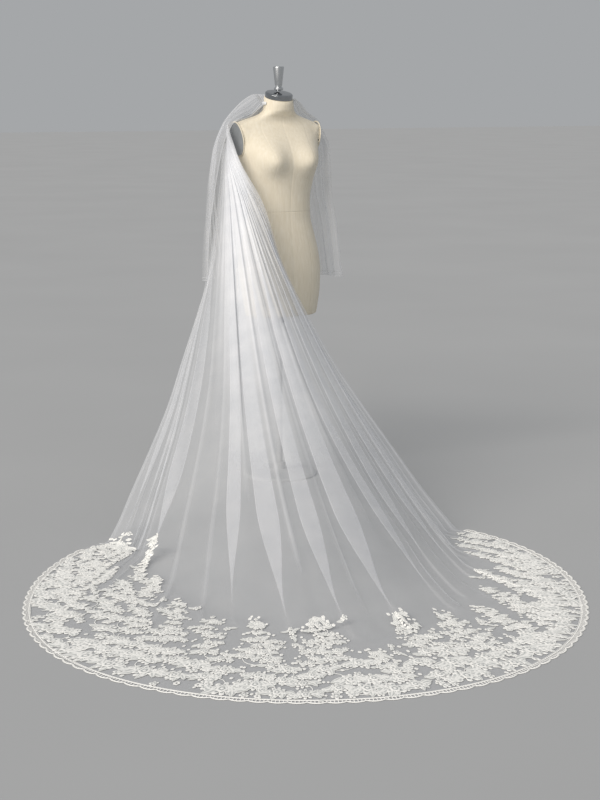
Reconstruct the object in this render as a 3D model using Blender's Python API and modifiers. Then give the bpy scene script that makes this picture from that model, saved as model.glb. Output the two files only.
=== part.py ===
"""Two-tier cathedral bridal veil on a limbless dress form.

The form faces -Y and stands on a round base whose underside is at z = 0. The long tier is gathered at the
back of the neck, goes over the right shoulder and fans out on the floor in front. The short tier hangs
round the back. Metres, +Z up.
"""

import functools
import math

import bmesh
import bpy
import numpy as np
from mathutils import Matrix, Vector

SEAM_GAP = 0.0003
CLOTH_WALL = 0.001

# Dress form. Each row is one level section: height, half width, depth to the front, depth to the back, and
# how far its middle lies behind the neck.
FORM_SECTIONS = (
    # height, half_width, front, back, middle
    (0.656, 0.147, 0.104, 0.107, 0.000),
    (0.661, 0.154, 0.110, 0.113, 0.000),
    (0.700, 0.161, 0.116, 0.122, 0.000),
    (0.760, 0.169, 0.120, 0.132, 0.000),
    (0.830, 0.171, 0.121, 0.134, 0.000),
    (0.900, 0.163, 0.116, 0.122, 0.000),
    (0.970, 0.146, 0.106, 0.104, 0.000),
    (1.050, 0.128, 0.095, 0.090, 0.000),
    (1.115, 0.126, 0.096, 0.088, 0.000),
    (1.180, 0.138, 0.105, 0.096, 0.002),
    (1.240, 0.150, 0.113, 0.104, 0.006),
    (1.290, 0.166, 0.108, 0.106, 0.012),
    (1.340, 0.175, 0.094, 0.098, 0.020),
    (1.375, 0.184, 0.076, 0.082, 0.026),
    (1.400, 0.180, 0.060, 0.066, 0.026),
    (1.415, 0.146, 0.052, 0.056, 0.022),
    (1.428, 0.104, 0.050, 0.052, 0.016),
    (1.440, 0.076, 0.053, 0.056, 0.008),
    (1.455, 0.0625, 0.0580, 0.0600, 0.002),
    (1.475, 0.0585, 0.0585, 0.0585, 0.000),
    (1.499, 0.0565, 0.0565, 0.0565, 0.000),
)
NECK_FOOT = 1.445  # above this the sections are plain ellipses
NECK_LEAN = math.radians(14)  # the top of the neck and its cap lean to the front
FORM_SIDES = 32
FORM_ROUNDNESS = 2.25  # exponent of the sections: 2 is an ellipse, more is squarer
BUST_HEIGHT = 1.262
BUST_SPREAD = 0.088  # from the front seam to each bust point
BUST_RISE = 0.050
BUST_WIDTH = 0.062
BUST_TALL = 0.062
ARMHOLE_HEIGHT = 1.345
ARMHOLE_BACK = 0.022
ARMHOLE_LEAN = math.radians(10)
ARMHOLE_OUT = 0.1690  # distance of the flat armhole face from the middle, at its centre
ARMHOLE_SIZE = (0.050, 0.064)  # half width and half height of its plate
ARMHOLE_THICK = 0.005

# Cap, finial and stand.
CAP_RADIUS = 0.054
CAP_HEIGHT = 0.022
FINIAL_PROFILE = (
    # radius, height above its foot
    (0.0080, 0.000),
    (0.0080, 0.004),
    (0.0175, 0.006),
    (0.0175, 0.015),
    (0.0125, 0.018),
    (0.0140, 0.023),
    (0.0215, 0.092),
    (0.0205, 0.095),
)
POLE_RADIUS = 0.0125
POLE_COLLAR = (0.022, 0.034)  # radius and height of the collar under the form
BASE_PROFILE = ((0.150, 0.0), (0.150, 0.006), (0.140, 0.011), (0.045, 0.016), (0.024, 0.022), (0.022, 0.050))

# Gathered header, a narrow band round the back of the neck that both tiers are sewn to.
HEADER_HEIGHTS = (1.4740, 1.4860)
HEADER_RADII = (0.0592, 0.0645)
HEADER_SWEEP = math.radians(100)  # each way from the middle of the back
HEADER_STEPS = 20

# Short tier. Each row is one level: height of its cloth, how far it stands out on the wearer's right, left
# and back, how far round to the front it goes on each side, the depth of its gathers, and how much lower it
# lies on the left and along its edge on the right shoulder.
CAPE_LEVELS = (
    # height, right, left, back, right_sweep, left_sweep, gather, left_drop, right_drop
    (1.4830, 0.0655, 0.0655, 0.0655, 98.0, 95.0, 0.0010, 0.000, 0.000),
    (1.5150, 0.0900, 0.0710, 0.0980, 98.0, 95.0, 0.0024, 0.018, 0.040),
    (1.5010, 0.1220, 0.0940, 0.1250, 98.0, 95.0, 0.0038, 0.022, 0.056),
    (1.4610, 0.1700, 0.1220, 0.1600, 97.0, 90.0, 0.0052, 0.008, 0.034),
    (1.4020, 0.2170, 0.2150, 0.1980, 96.0, 80.0, 0.0064, 0.004, 0.008),
    (1.3000, 0.2560, 0.2300, 0.2280, 94.0, 90.0, 0.0080, 0.000, 0.000),
    (1.1500, 0.2720, 0.2310, 0.2420, 88.0, 92.0, 0.0100, 0.000, 0.000),
    (0.9900, 0.2760, 0.2480, 0.2500, 77.0, 95.0, 0.0120, 0.000, 0.000),
    (0.7880, 0.2790, 0.2700, 0.2580, 62.0, 95.0, 0.0145, 0.000, 0.000),
)
CAPE_DROP_FROM = math.radians(55)  # round from the middle of the back, where the right shoulder's drop starts
CAPE_DROP_OVER = math.radians(43)
CAPE_GATHERS = 17
CAPE_POINTS_PER_GATHER = 4

# Long tier. It fans out to the wearer's front right: "across" runs to the right and "ahead" runs away from
# the form, both turned by TRAIN_TURN from the form's own axes.
TRAIN_TURN = math.radians(-30)
HEM_MIDDLE = (0.10, 1.51)  # across, ahead
HEM_RADIUS = 0.875  # its mean, from the middle
HEM_NARROWING = 0.016  # how much narrower and longer than a circle it is
HEM_SQUARING = 0.009  # how much fuller it is between its sides and its front
HEM_START = 214.0  # degrees, where the left side edge meets the round hem
HEM_SWEEP = 264.0
SHOULDER_HEIGHT = 1.30
SHOULDER_LEFT = (-0.222, -0.025)  # across, ahead, of the left side edge beside the shoulder
SHOULDER_RIGHT = (-0.170, 0.13)
# Length of cloth that lies on the floor, at shares of the way across the fan.
TRAIN_LAID = (
    # share, length
    (0.00, 0.06),
    (0.06, 0.26),
    (0.13, 0.50),
    (0.22, 0.78),
    (0.30, 0.84),
    (0.38, 0.70),
    (0.45, 0.54),
    (0.52, 0.46),
    (0.60, 0.46),
    (0.70, 0.53),
    (0.80, 0.50),
    (0.90, 0.36),
    (0.96, 0.20),
    (1.00, 0.03),
)
LAID_FLAT = 0.90  # share of that length, from the hem, that lies quite flat
LAID_INWARD = 0.3  # at its side edges the cloth lies this much towards the middle of the hem's circle
LAID_INWARD_SHARE = 0.3  # share across the fan over which that fades out
# How far along its way to the floor the cloth has come at each height, at its left edge, middle and right.
TRAIN_FALL = (
    # height, left, middle, right
    (1.300, 0.000, 0.000, 0.012),
    (1.100, 0.020, 0.110, 0.145),
    (0.900, 0.078, 0.224, 0.225),
    (0.700, 0.235, 0.347, 0.350),
    (0.530, 0.385, 0.461, 0.475),
    (0.380, 0.515, 0.572, 0.610),
    (0.250, 0.665, 0.680, 0.735),
    (0.130, 0.815, 0.796, 0.850),
    (0.040, 0.925, 0.900, 0.950),
    (0.000, 1.000, 1.000, 1.000),
)
TRAIN_SIDE_SHARE = 0.40  # share of the fan over which a side's figures fade into the middle's
TRAIN_TOP = (0.0655, 1.4760)  # radius and height of its gathered top edge, just outside the header
TRAIN_TOP_SWEEP = (38.0, -95.0)  # degrees from the middle of the back, of its left and right side edge
# The way over the shoulder, as points of the left and right side edge in the form's own axes, and how far
# the cloth between them stands out from the neck.
TRAIN_OVER = (
    # left_x, left_y, left_z, right_x, right_y, right_z, bulge
    (0.0300, 0.1300, 1.4120, -0.1200, 0.0220, 1.4290, 0.022),
    (-0.0960, 0.1520, 1.3680, -0.2060, 0.0300, 1.4020, 0.018),
)
# Folds of the long tier: three layers each. Where each lies across the fan at the shoulder and at its tip
# on the floor, and how wide it is there, as shares of the fan.
FOLDS = (
    # high, low, width
    (0.070, 0.066, 0.034),
    (0.150, 0.135, 0.036),
    (0.215, 0.200, 0.024),
    (0.320, 0.285, 0.040),
    (0.438, 0.424, 0.018),
    (0.470, 0.476, 0.028),
    (0.525, 0.528, 0.024),
    (0.575, 0.581, 0.032),
    (0.612, 0.645, 0.020),
    (0.665, 0.678, 0.028),
    (0.715, 0.735, 0.034),
    (0.800, 0.810, 0.034),
)
# The corners of a fold, as shares of its half width, folded and open, and layers above the cloth below.
FOLD_CORNERS = (
    # folded, open, layer
    (-1.35, -1.32, 0.00),
    (1.00, -0.79, 0.15),
    (1.00, -0.26, 0.70),
    (-1.00, 0.26, 1.30),
    (-1.00, 0.79, 1.85),
    (1.35, 1.32, 2.00),
)
FOLD_LAYER = 0.004  # from one layer of a fold to the next
FOLD_GATHER = 0.0007  # the same at the shoulder and above it, where the folds are plain ridges
FOLD_OPENING = 0.22  # height over which a fold narrows to its tip
FOLDED_UP_TO = 0.80  # above this height the folds turn into gathers
FOLD_SET_AT = 0.60  # height by which a fold has moved from its tip's place to its place at the shoulder
FOLD_CLOSING = ((0.70, 1.0), (0.90, 0.0))  # height, and the most its layers overlap there
WINDOW_STEP = 0.04  # widest step between points of the plain cloth between folds
ON_FLOOR = -1.0  # stands for the height of a row that lies flat on the floor
NORMAL_STEP = 0.002  # share across over which the cloth's slant is measured

# Lace on the hem.
EDGING_OUT = 0.009
EDGING_IN = 0.010
EDGING_SCALLOPS = 80
EDGING_START = 0.014  # share along the hem, just clear of where the left side edge lifts off the floor
EDGING_SCALLOP_RISE = 0.006
EDGING_WALL = 0.0012
LACE_LIFT = 0.0004  # between the tulle and the lace that is sewn to it
# Sprays of lace: where each stands along the hem, how far it reaches in from the edging, and half its width.
SPRAYS = (
    # place, reach, half_width
    (0.062, 0.20, 0.115),
    (0.135, 0.32, 0.150),
    (0.210, 0.34, 0.155),
    (0.285, 0.36, 0.155),
    (0.360, 0.31, 0.150),
    (0.435, 0.38, 0.155),
    (0.507, 0.37, 0.150),
    (0.580, 0.36, 0.150),
    (0.655, 0.37, 0.155),
    (0.730, 0.33, 0.155),
    (0.805, 0.28, 0.150),
    (0.875, 0.22, 0.135),
    (0.945, 0.15, 0.085),
)
SPRAY_WALL = 0.0012
SPRAY_POINTS = 44
SPRAY_LEAF = 0.10  # how far its leaves stand in and out, as a share of its size
SPRAY_HOLES = 3
SPRAY_HOLE_SIDES = 7

# Materials: colour, roughness and metallic.
TULLE = ((0.93, 0.94, 0.96), 0.75, 0.0)
LACE = ((0.95, 0.94, 0.92), 0.80, 0.0)
LINEN = ((0.80, 0.76, 0.66), 0.85, 0.0)
CHROME = ((0.75, 0.76, 0.78), 0.12, 1.0)
ALUMINIUM = ((0.72, 0.73, 0.74), 0.32, 1.0)
GREY_PLATE = ((0.30, 0.32, 0.34), 0.45, 0.0)
GREY_PAINT = ((0.28, 0.29, 0.30), 0.50, 0.0)


def clear_scene():
    for thing in list(bpy.data.objects):
        bpy.data.objects.remove(thing, do_unlink=True)


def collection_of_parts():
    parts = bpy.data.collections.new("bridal_veil_on_dress_form")
    bpy.context.scene.collection.children.link(parts)
    return parts


def material(name, finish):
    colour, roughness, metallic = finish
    made = bpy.data.materials.new(name)
    made.use_nodes = True
    shader = made.node_tree.nodes["Principled BSDF"]
    shader.inputs["Base Color"].default_value = (*colour, 1.0)
    shader.inputs["Roughness"].default_value = roughness
    shader.inputs["Metallic"].default_value = metallic
    made.diffuse_color = (*colour, 1.0)
    return made


def add_object(parts, name, data, finish):
    made = bpy.data.objects.new(name, data)
    parts.objects.link(made)
    data.materials.append(material(name + "_finish", finish))
    return made


def object_from_bmesh(parts, name, shape, finish, smooth=True):
    data = bpy.data.meshes.new(name)
    shape.to_mesh(data)
    shape.free()
    if smooth:
        data.shade_smooth()
    return add_object(parts, name, data, finish)


def eased(value):
    value = min(max(value, 0.0), 1.0)
    return value * value * (3 - 2 * value)


def mixed(first, second, share):
    return first + (second - first) * share


def turned(parts, name, profile, finish, steps=32):
    """A solid of revolution round Z from (radius, height) points, its axis closed top and bottom."""
    data = bpy.data.meshes.new(name)
    outline = [(0.0, profile[0][1]), *profile, (0.0, profile[-1][1])]
    points = [(radius, 0.0, height) for radius, height in reversed(outline)]
    data.from_pydata(points, [(i, i + 1) for i in range(len(points) - 1)], [])
    made = add_object(parts, name, data, finish)
    screw = made.modifiers.new("turn", "SCREW")
    screw.steps = steps
    screw.render_steps = steps
    screw.use_merge_vertices = True
    screw.merge_threshold = 0.0001
    return made


# Dress form ---------------------------------------------------------------------------------------------


def form_point(section, angle):
    """A point of one level section; the angle runs round from the form's left (+X) to its front (-Y)."""
    height, half_width, front, back, middle = section
    power = 1.0 if height > NECK_FOOT else 2 / FORM_ROUNDNESS
    cosine = math.cos(angle)
    sine = math.sin(angle)
    x = half_width * math.copysign(abs(cosine) ** power, cosine)
    depth = front if sine > 0 else back
    y = middle - depth * math.copysign(abs(sine) ** power, sine)
    if sine > 0:
        for side in (-1, 1):
            off_side = (x - side * BUST_SPREAD) / BUST_WIDTH
            off_height = (height - BUST_HEIGHT) / BUST_TALL
            if height < BUST_HEIGHT:
                off_height *= 1.25
            y -= BUST_RISE * math.exp(-off_side * off_side - off_height * off_height) * sine**0.5
    if height > ARMHOLE_HEIGHT - 0.075:
        limit = armhole_out(height)
        x = min(max(x, -limit), limit)
    if section == FORM_SECTIONS[-1]:
        height += y * math.tan(NECK_LEAN)
    return Vector((x, y, height))


def armhole_out(height):
    """How far out the flat armhole face lies at a height: it leans in towards the waist."""
    return ARMHOLE_OUT + (height - ARMHOLE_HEIGHT) * math.tan(ARMHOLE_LEAN)


def make_form(parts):
    shape = bmesh.new()
    rings = []
    for section in FORM_SECTIONS:
        angles = [math.tau * i / FORM_SIDES for i in range(FORM_SIDES)]
        rings.append([shape.verts.new(form_point(section, angle)) for angle in angles])
    for lower, upper in zip(rings, rings[1:]):
        for i in range(FORM_SIDES):
            j = (i + 1) % FORM_SIDES
            shape.faces.new((lower[j], lower[i], upper[i], upper[j]))
    shape.faces.new(rings[0])
    shape.faces.new(reversed(rings[-1]))
    bmesh.ops.recalc_face_normals(shape, faces=shape.faces)
    return object_from_bmesh(parts, "form_torso", shape, LINEN)


def make_armhole_plate(parts, name, side):
    shape = bmesh.new()
    bmesh.ops.create_cone(
        shape, cap_ends=True, segments=28, radius1=1.0, radius2=1.0, depth=ARMHOLE_THICK
    )
    half_width, half_height = ARMHOLE_SIZE
    out = ARMHOLE_OUT + (SEAM_GAP + ARMHOLE_THICK / 2) / math.cos(ARMHOLE_LEAN)
    place = Matrix.Translation((side * out, ARMHOLE_BACK, ARMHOLE_HEIGHT))
    lean = Matrix.Rotation(side * ARMHOLE_LEAN, 4, "Y")
    stand = Matrix.Rotation(math.pi / 2, 4, "Y")
    size = Matrix.Diagonal((half_height, half_width, 1.0, 1.0))
    shape.transform(place @ lean @ stand @ size)
    return object_from_bmesh(parts, name, shape, GREY_PLATE, smooth=False)


def make_cap(parts):
    shape = bmesh.new()
    bmesh.ops.create_cone(
        shape, cap_ends=True, segments=40, radius1=CAP_RADIUS, radius2=CAP_RADIUS, depth=CAP_HEIGHT
    )
    raised = Matrix.Translation((0, 0, SEAM_GAP + CAP_HEIGHT / 2))
    neck_top = Matrix.Translation((0, 0, FORM_SECTIONS[-1][0]))
    shape.transform(neck_top @ Matrix.Rotation(NECK_LEAN, 4, "X") @ raised)
    return object_from_bmesh(parts, "neck_cap", shape, CHROME, smooth=False)


def make_finial(parts):
    made = turned(parts, "finial", FINIAL_PROFILE, ALUMINIUM, steps=28)
    cap_top = FORM_SECTIONS[-1][0] + (SEAM_GAP + CAP_HEIGHT) / math.cos(NECK_LEAN)
    made.location.z = cap_top + FINIAL_PROFILE[0][0] * math.tan(NECK_LEAN) + SEAM_GAP


def make_stand(parts):
    form_foot = FORM_SECTIONS[0][0]
    collar_radius, collar_height = POLE_COLLAR
    base_top = BASE_PROFILE[-1][1]
    turned(parts, "stand_base", BASE_PROFILE, GREY_PAINT, steps=48)
    pole = (
        (POLE_RADIUS, base_top + SEAM_GAP),
        (POLE_RADIUS, form_foot - collar_height - 2 * SEAM_GAP),
    )
    turned(parts, "stand_pole", pole, GREY_PAINT, steps=20)
    collar = (
        (collar_radius, form_foot - collar_height - SEAM_GAP),
        (collar_radius, form_foot - SEAM_GAP),
    )
    turned(parts, "stand_collar", collar, CHROME, steps=24)


# Cloth --------------------------------------------------------------------------------------------------


def cloth_sheet(parts, name, rows, finish, thickness=CLOTH_WALL):
    """An open sheet through rows of points, triangulated so that both faces of its wall match."""
    shape = bmesh.new()
    grid = [[shape.verts.new(point) for point in row] for row in rows]
    for upper, lower in zip(grid, grid[1:]):
        for i in range(len(upper) - 1):
            shape.faces.new((upper[i], lower[i], lower[i + 1], upper[i + 1]))
    bmesh.ops.triangulate(shape, faces=shape.faces, quad_method="FIXED")
    made = object_from_bmesh(parts, name, shape, finish)
    wall = made.modifiers.new("wall", "SOLIDIFY")
    wall.thickness = thickness
    wall.offset = 0.0
    return made


def make_header(parts):
    inner, outer = HEADER_RADII
    low, high = HEADER_HEIGHTS
    shape = bmesh.new()
    loops = []
    for i in range(HEADER_STEPS + 1):
        angle = mixed(-HEADER_SWEEP, HEADER_SWEEP, i / HEADER_STEPS)
        out = Vector((math.sin(angle), math.cos(angle), 0.0))
        corners = ((inner, low), (outer, low), (outer, high), (inner, high))
        loops.append([shape.verts.new(out * radius + Vector((0, 0, z))) for radius, z in corners])
    for first, second in zip(loops, loops[1:]):
        for i in range(4):
            j = (i + 1) % 4
            shape.faces.new((first[i], first[j], second[j], second[i]))
    shape.faces.new(loops[0])
    shape.faces.new(reversed(loops[-1]))
    bmesh.ops.recalc_face_normals(shape, faces=shape.faces)
    return object_from_bmesh(parts, "gathered_header", shape, TULLE, smooth=False)


def gather_depth(share):
    """Depth of the short tier's gathers at a share of the way round, 0 to 1, uneven from one to the next."""
    turn = math.tau * CAPE_GATHERS * share
    wander = 0.9 * math.sin(turn / 3.7 + 0.6) + 0.5 * math.sin(turn / 2.3 + 2.0)
    strength = 0.68 + 0.32 * math.sin(turn / 5.1 + 1.2)
    return (0.5 - 0.5 * math.cos(turn + wander)) * strength


def cape_rows():
    columns = CAPE_GATHERS * CAPE_POINTS_PER_GATHER
    rows = []
    for height, right, left, back, right_sweep, left_sweep, gather, left_drop, right_drop in CAPE_LEVELS:
        row = []
        for i in range(columns + 1):
            share = i / columns
            angle = math.radians(mixed(-right_sweep, left_sweep, share))
            side = right if angle < 0 else left
            level = height - left_drop * eased(2 * angle / math.pi)
            level -= right_drop * eased((-angle - CAPE_DROP_FROM) / CAPE_DROP_OVER)
            middle = Vector((side * math.sin(angle), back * math.cos(angle), level))
            out = Vector((math.sin(angle) / side, math.cos(angle) / back, 0.0)).normalized()
            row.append(middle + out * (2 * gather * gather_depth(share)))
        rows.append(row)
    return rows


# Long tier ----------------------------------------------------------------------------------------------


def placed(across, ahead, height):
    """A point of the train's own axes, across, ahead and up, in the form's axes."""
    cosine = math.cos(TRAIN_TURN)
    sine = math.sin(TRAIN_TURN)
    return Vector((cosine * across + sine * ahead, sine * across - cosine * ahead, height))


def hem_point(share, inset=0.0):
    angle = math.radians(HEM_START - HEM_SWEEP * share)
    radius = HEM_RADIUS - HEM_NARROWING * math.cos(2 * angle) - HEM_SQUARING * math.cos(4 * angle) - inset
    return Vector((HEM_MIDDLE[0] + radius * math.cos(angle), HEM_MIDDLE[1] + radius * math.sin(angle)))


def shoulder_point(share):
    return Vector(SHOULDER_LEFT).lerp(Vector(SHOULDER_RIGHT), share)


def laid_length(share):
    """Length of cloth that lies on the floor at a share across the fan."""
    shares, lengths = zip(*TRAIN_LAID)
    return float(np.interp(share, shares, lengths))


def landing_point(share):
    """Where the cloth reaches the floor, short of the hem by the length that lies on it."""
    hem = hem_point(share)
    to_shoulder = (shoulder_point(share) - hem).normalized()
    to_middle = (Vector(HEM_MIDDLE) - hem).normalized()
    inward = LAID_INWARD * (1 - eased(min(share, 1 - share) / LAID_INWARD_SHARE))
    return hem + to_shoulder.lerp(to_middle, inward).normalized() * laid_length(share)


def fall_share(level, share):
    height, left, middle, right = level
    if share < 0.5:
        return mixed(left, middle, eased(share / TRAIN_SIDE_SHARE))
    return mixed(right, middle, eased((1 - share) / TRAIN_SIDE_SHARE))


def over_point(level, share):
    """A point of one row over the shoulder, bowed out from the neck between its two ends."""
    left = Vector(level[:3])
    right = Vector(level[3:6])
    bulge = level[6]
    point = left.lerp(right, share)
    chord = right - left
    out = Vector((chord.y, -chord.x, 0.0)).normalized()
    if out.y < 0:
        out = -out
    return point + out * (bulge * 4 * share * (1 - share))


def train_rows():
    """Each row of the long tier as its height and a function that gives its point at a share across."""
    rows = [(SHOULDER_HEIGHT, top_point)]
    rows += [(SHOULDER_HEIGHT, functools.partial(over_point, level)) for level in TRAIN_OVER]
    rows += [(level[0], functools.partial(fallen_point, level)) for level in TRAIN_FALL]
    rows += [(ON_FLOOR, functools.partial(laid_point, from_hem)) for from_hem in (LAID_FLAT, 0.0)]
    return rows


def top_point(share):
    radius, height = TRAIN_TOP
    angle = math.radians(mixed(*TRAIN_TOP_SWEEP, share))
    return Vector((radius * math.sin(angle), radius * math.cos(angle), height))


def laid_point(from_hem, share):
    """A point of the cloth on the floor, at a share of the way from the hem to where it lands."""
    plan = hem_point(share).lerp(landing_point(share), from_hem)
    return placed(plan.x, plan.y, CLOTH_WALL / 2)


def fallen_point(level, share):
    way = fall_share(level, share)
    plan = shoulder_point(share).lerp(landing_point(share), way)
    return placed(plan.x, plan.y, level[0] + CLOTH_WALL / 2)


def fold_state(fold, height):
    """Middle and half width of a fold at a height, and how far its layers overlap, None where it lies open."""
    high, low, width = fold
    if height == ON_FLOOR or height > FOLD_CLOSING[-1][0]:
        folded = None
    else:
        folded = min(eased(height / FOLD_OPENING), float(np.interp(height, *zip(*FOLD_CLOSING))))
    return mixed(low, high, eased(height / FOLD_SET_AT)), width / 2, folded


def gathered(height):
    """How far the folds have turned into plain gathers at a height, from 0 to 1 at the shoulder."""
    return eased((height - FOLDED_UP_TO) / (SHOULDER_HEIGHT - FOLDED_UP_TO))


def layer_step(height, folded):
    layer = 0.0 if folded is None else FOLD_LAYER
    return mixed(layer, FOLD_GATHER, gathered(height))


def train_columns():
    """Each column of the long tier as (fold or None, corner, window share, fold on its left, on its right)."""
    columns = []
    for number in range(len(FOLDS) + 1):
        before = FOLDS[number - 1] if number else None
        after = FOLDS[number] if number < len(FOLDS) else None
        start = before[0] + before[2] / 2 if before else 0.0
        end = after[0] - after[2] / 2 if after else 1.0
        steps = max(1, round((end - start) / WINDOW_STEP)) + 1
        first = 0 if before is None else 1
        last = steps if after is None else steps - 1
        for i in range(first, last + 1):
            columns.append((None, None, i / steps, before, after))
        if after:
            for corner in range(len(FOLD_CORNERS)):
                columns.append((after, corner, None, None, None))
    return columns


def corner_place(fold, corner, height):
    """Share across the fan and height above the cloth of one corner of a fold."""
    middle, half, folded = fold_state(fold, height)
    closed_at, open_at, layer = FOLD_CORNERS[corner]
    if folded is None:
        across = open_at
    elif corner in (0, len(FOLD_CORNERS) - 1):
        across = closed_at
    else:
        across = closed_at * folded
    return middle + half * across, layer * layer_step(height, folded)


def column_place(column, height):
    fold, corner, window, before, after = column
    if fold:
        return corner_place(fold, corner, height)
    last = len(FOLD_CORNERS) - 1
    start, lift = corner_place(before, last, height) if before else (0.0, 0.0)
    end = corner_place(after, 0, height)[0] if after else 1.0
    return mixed(start, end, window), lift * (1 - eased(window))


def long_tier_rows():
    columns = train_columns()
    levels = train_rows()
    rows = []
    for number, (height, row_point) in enumerate(levels):
        above = levels[max(number - 1, 0)][1]
        below = levels[min(number + 1, len(levels) - 1)][1]
        row = []
        for column in columns:
            share, lift = column_place(column, height)
            along = row_point(min(share + NORMAL_STEP, 1)) - row_point(max(share - NORMAL_STEP, 0))
            down = below(share) - above(share)
            out = down.cross(along).normalized()
            if height <= 0:
                out = Vector((0, 0, 1))
            row.append(row_point(share) + out * lift)
        rows.append(row)
    return rows


# Lace ---------------------------------------------------------------------------------------------------


def flat_piece(parts, name, outlines, low, wall, finish):
    """A flat piece from closed outlines in plan, the first its edge and the rest its holes."""
    curve = bpy.data.curves.new(name, "CURVE")
    curve.dimensions = "2D"
    curve.fill_mode = "BOTH"
    curve.extrude = wall / 2
    for outline in outlines:
        spline = curve.splines.new("POLY")
        spline.points.add(len(outline) - 1)
        for point, place in zip(spline.points, outline):
            point.co = (place[0], place[1], 0.0, 1.0)
        spline.use_cyclic_u = True
    made = add_object(parts, name, curve, finish)
    made.location.z = low + wall / 2
    return made


def make_edging(parts):
    """A scalloped braid that runs all round the hem, its scallops reaching past the tulle."""
    outline = []
    for i in range(EDGING_SCALLOPS * 4 + 1):
        share = mixed(EDGING_START, 1.0, i / (EDGING_SCALLOPS * 4))
        scallop = (0.0, 0.75, 1.0, 0.75)[i % 4]
        out = EDGING_OUT - EDGING_SCALLOP_RISE * (1 - scallop)
        outline.append(placed(*hem_point(share, -out), 0.0))
    for i in range(EDGING_SCALLOPS, -1, -1):
        share = mixed(EDGING_START, 1.0, i / EDGING_SCALLOPS)
        outline.append(placed(*hem_point(share, EDGING_IN), 0.0))
    low = CLOTH_WALL + LACE_LIFT
    return flat_piece(parts, "lace_edging", [outline], low, EDGING_WALL, LACE)


def spray_outline(reach, half_width):
    """A leafy spray in its own axes: across, and in from the hem. Leaves all round it meet over a broad foot."""
    outline = []
    for i in range(SPRAY_POINTS):
        turn = math.tau * i / SPRAY_POINTS
        leaf = SPRAY_LEAF * (math.cos(11 * turn) + math.sin(7 * turn + 1) / 2)
        leaf = (1 + leaf) / (1 + SPRAY_LEAF * 1.5)
        inward = 0.5 * reach * (1 - math.cos(turn) * leaf)
        breadth = half_width * (1 - 0.55 * eased(inward / reach))
        fullness = math.copysign(abs(math.sin(turn)) ** 0.7, math.sin(turn))
        outline.append((breadth * fullness * leaf, inward))
    return outline


def spray_holes(reach, half_width):
    holes = []
    for number in range(SPRAY_HOLES):
        side = number - (SPRAY_HOLES - 1) / 2
        middle_across = side * half_width * 0.42
        middle_in = reach * (0.30 - 0.06 * abs(side))
        size = half_width * (0.075 + 0.03 * (number % 2))
        hole = []
        for i in range(SPRAY_HOLE_SIDES):
            turn = math.tau * i / SPRAY_HOLE_SIDES
            hole.append((middle_across + size * math.cos(turn), middle_in + 1.5 * size * math.sin(turn)))
        holes.append(hole)
    return holes


def make_spray(parts, name, place, reach, half_width):
    foot_inset = EDGING_IN + 0.003
    foot = hem_point(place, foot_inset)
    inward = (Vector(HEM_MIDDLE) - foot).normalized()
    aside = Vector((-inward.y, inward.x))

    def in_plan(outline):
        points = []
        for across, along in outline:
            curve_in = foot_inset + along
            share = place - math.degrees(across / (HEM_RADIUS - curve_in * 0.8)) / HEM_SWEEP
            plan = hem_point(share, curve_in)
            points.append(placed(plan.x, plan.y, 0.0))
        return points

    outlines = [in_plan(spray_outline(reach, half_width))]
    outlines += [in_plan(hole) for hole in spray_holes(reach, half_width)]
    low = CLOTH_WALL + LACE_LIFT
    return flat_piece(parts, name, outlines, low, SPRAY_WALL, LACE)


def make_all():
    clear_scene()
    parts = collection_of_parts()
    make_form(parts)
    make_armhole_plate(parts, "armhole_plate_right", -1)
    make_armhole_plate(parts, "armhole_plate_left", 1)
    make_cap(parts)
    make_finial(parts)
    make_stand(parts)
    make_header(parts)
    cloth_sheet(parts, "short_tier", cape_rows(), TULLE)
    cloth_sheet(parts, "long_tier", long_tier_rows(), TULLE)
    make_edging(parts)
    for number, (place, reach, half_width) in enumerate(SPRAYS, 1):
        make_spray(parts, f"lace_spray_{number:02d}", place, reach, half_width)


make_all()
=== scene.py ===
"""Looks of a two-tier cathedral bridal veil draped over a limbless dress form."""

import math
import random

import bpy
import numpy as np
from mathutils import Matrix, Vector
from mathutils.bvhtree import BVHTree


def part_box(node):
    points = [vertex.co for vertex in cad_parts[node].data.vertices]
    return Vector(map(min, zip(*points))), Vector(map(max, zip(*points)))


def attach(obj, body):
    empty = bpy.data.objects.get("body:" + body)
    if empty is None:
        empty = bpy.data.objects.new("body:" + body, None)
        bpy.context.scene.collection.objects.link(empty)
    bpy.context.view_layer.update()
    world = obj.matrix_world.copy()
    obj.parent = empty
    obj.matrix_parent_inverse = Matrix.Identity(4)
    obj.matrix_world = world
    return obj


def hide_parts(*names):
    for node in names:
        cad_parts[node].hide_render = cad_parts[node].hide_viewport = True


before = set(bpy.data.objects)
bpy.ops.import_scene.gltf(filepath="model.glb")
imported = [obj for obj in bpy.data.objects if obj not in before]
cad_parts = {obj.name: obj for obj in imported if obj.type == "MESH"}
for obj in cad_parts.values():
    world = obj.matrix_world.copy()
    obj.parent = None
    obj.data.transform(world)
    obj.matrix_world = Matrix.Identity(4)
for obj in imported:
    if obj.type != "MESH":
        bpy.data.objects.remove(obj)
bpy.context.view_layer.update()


# Dress form torso -----------------------------------------------------------------------------------------
# A moulded shell with thin padding under a cream linen cover. The cover is sewn from panels that meet in
# seams at the front, sides, back and over the bust, and another seam runs round the waist.


def eased(value):
    value = np.clip(value, 0.0, 1.0)
    return value * value * (3 - 2 * value)


def mixed(first, second, share):
    return first + (second - first) * share


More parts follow.
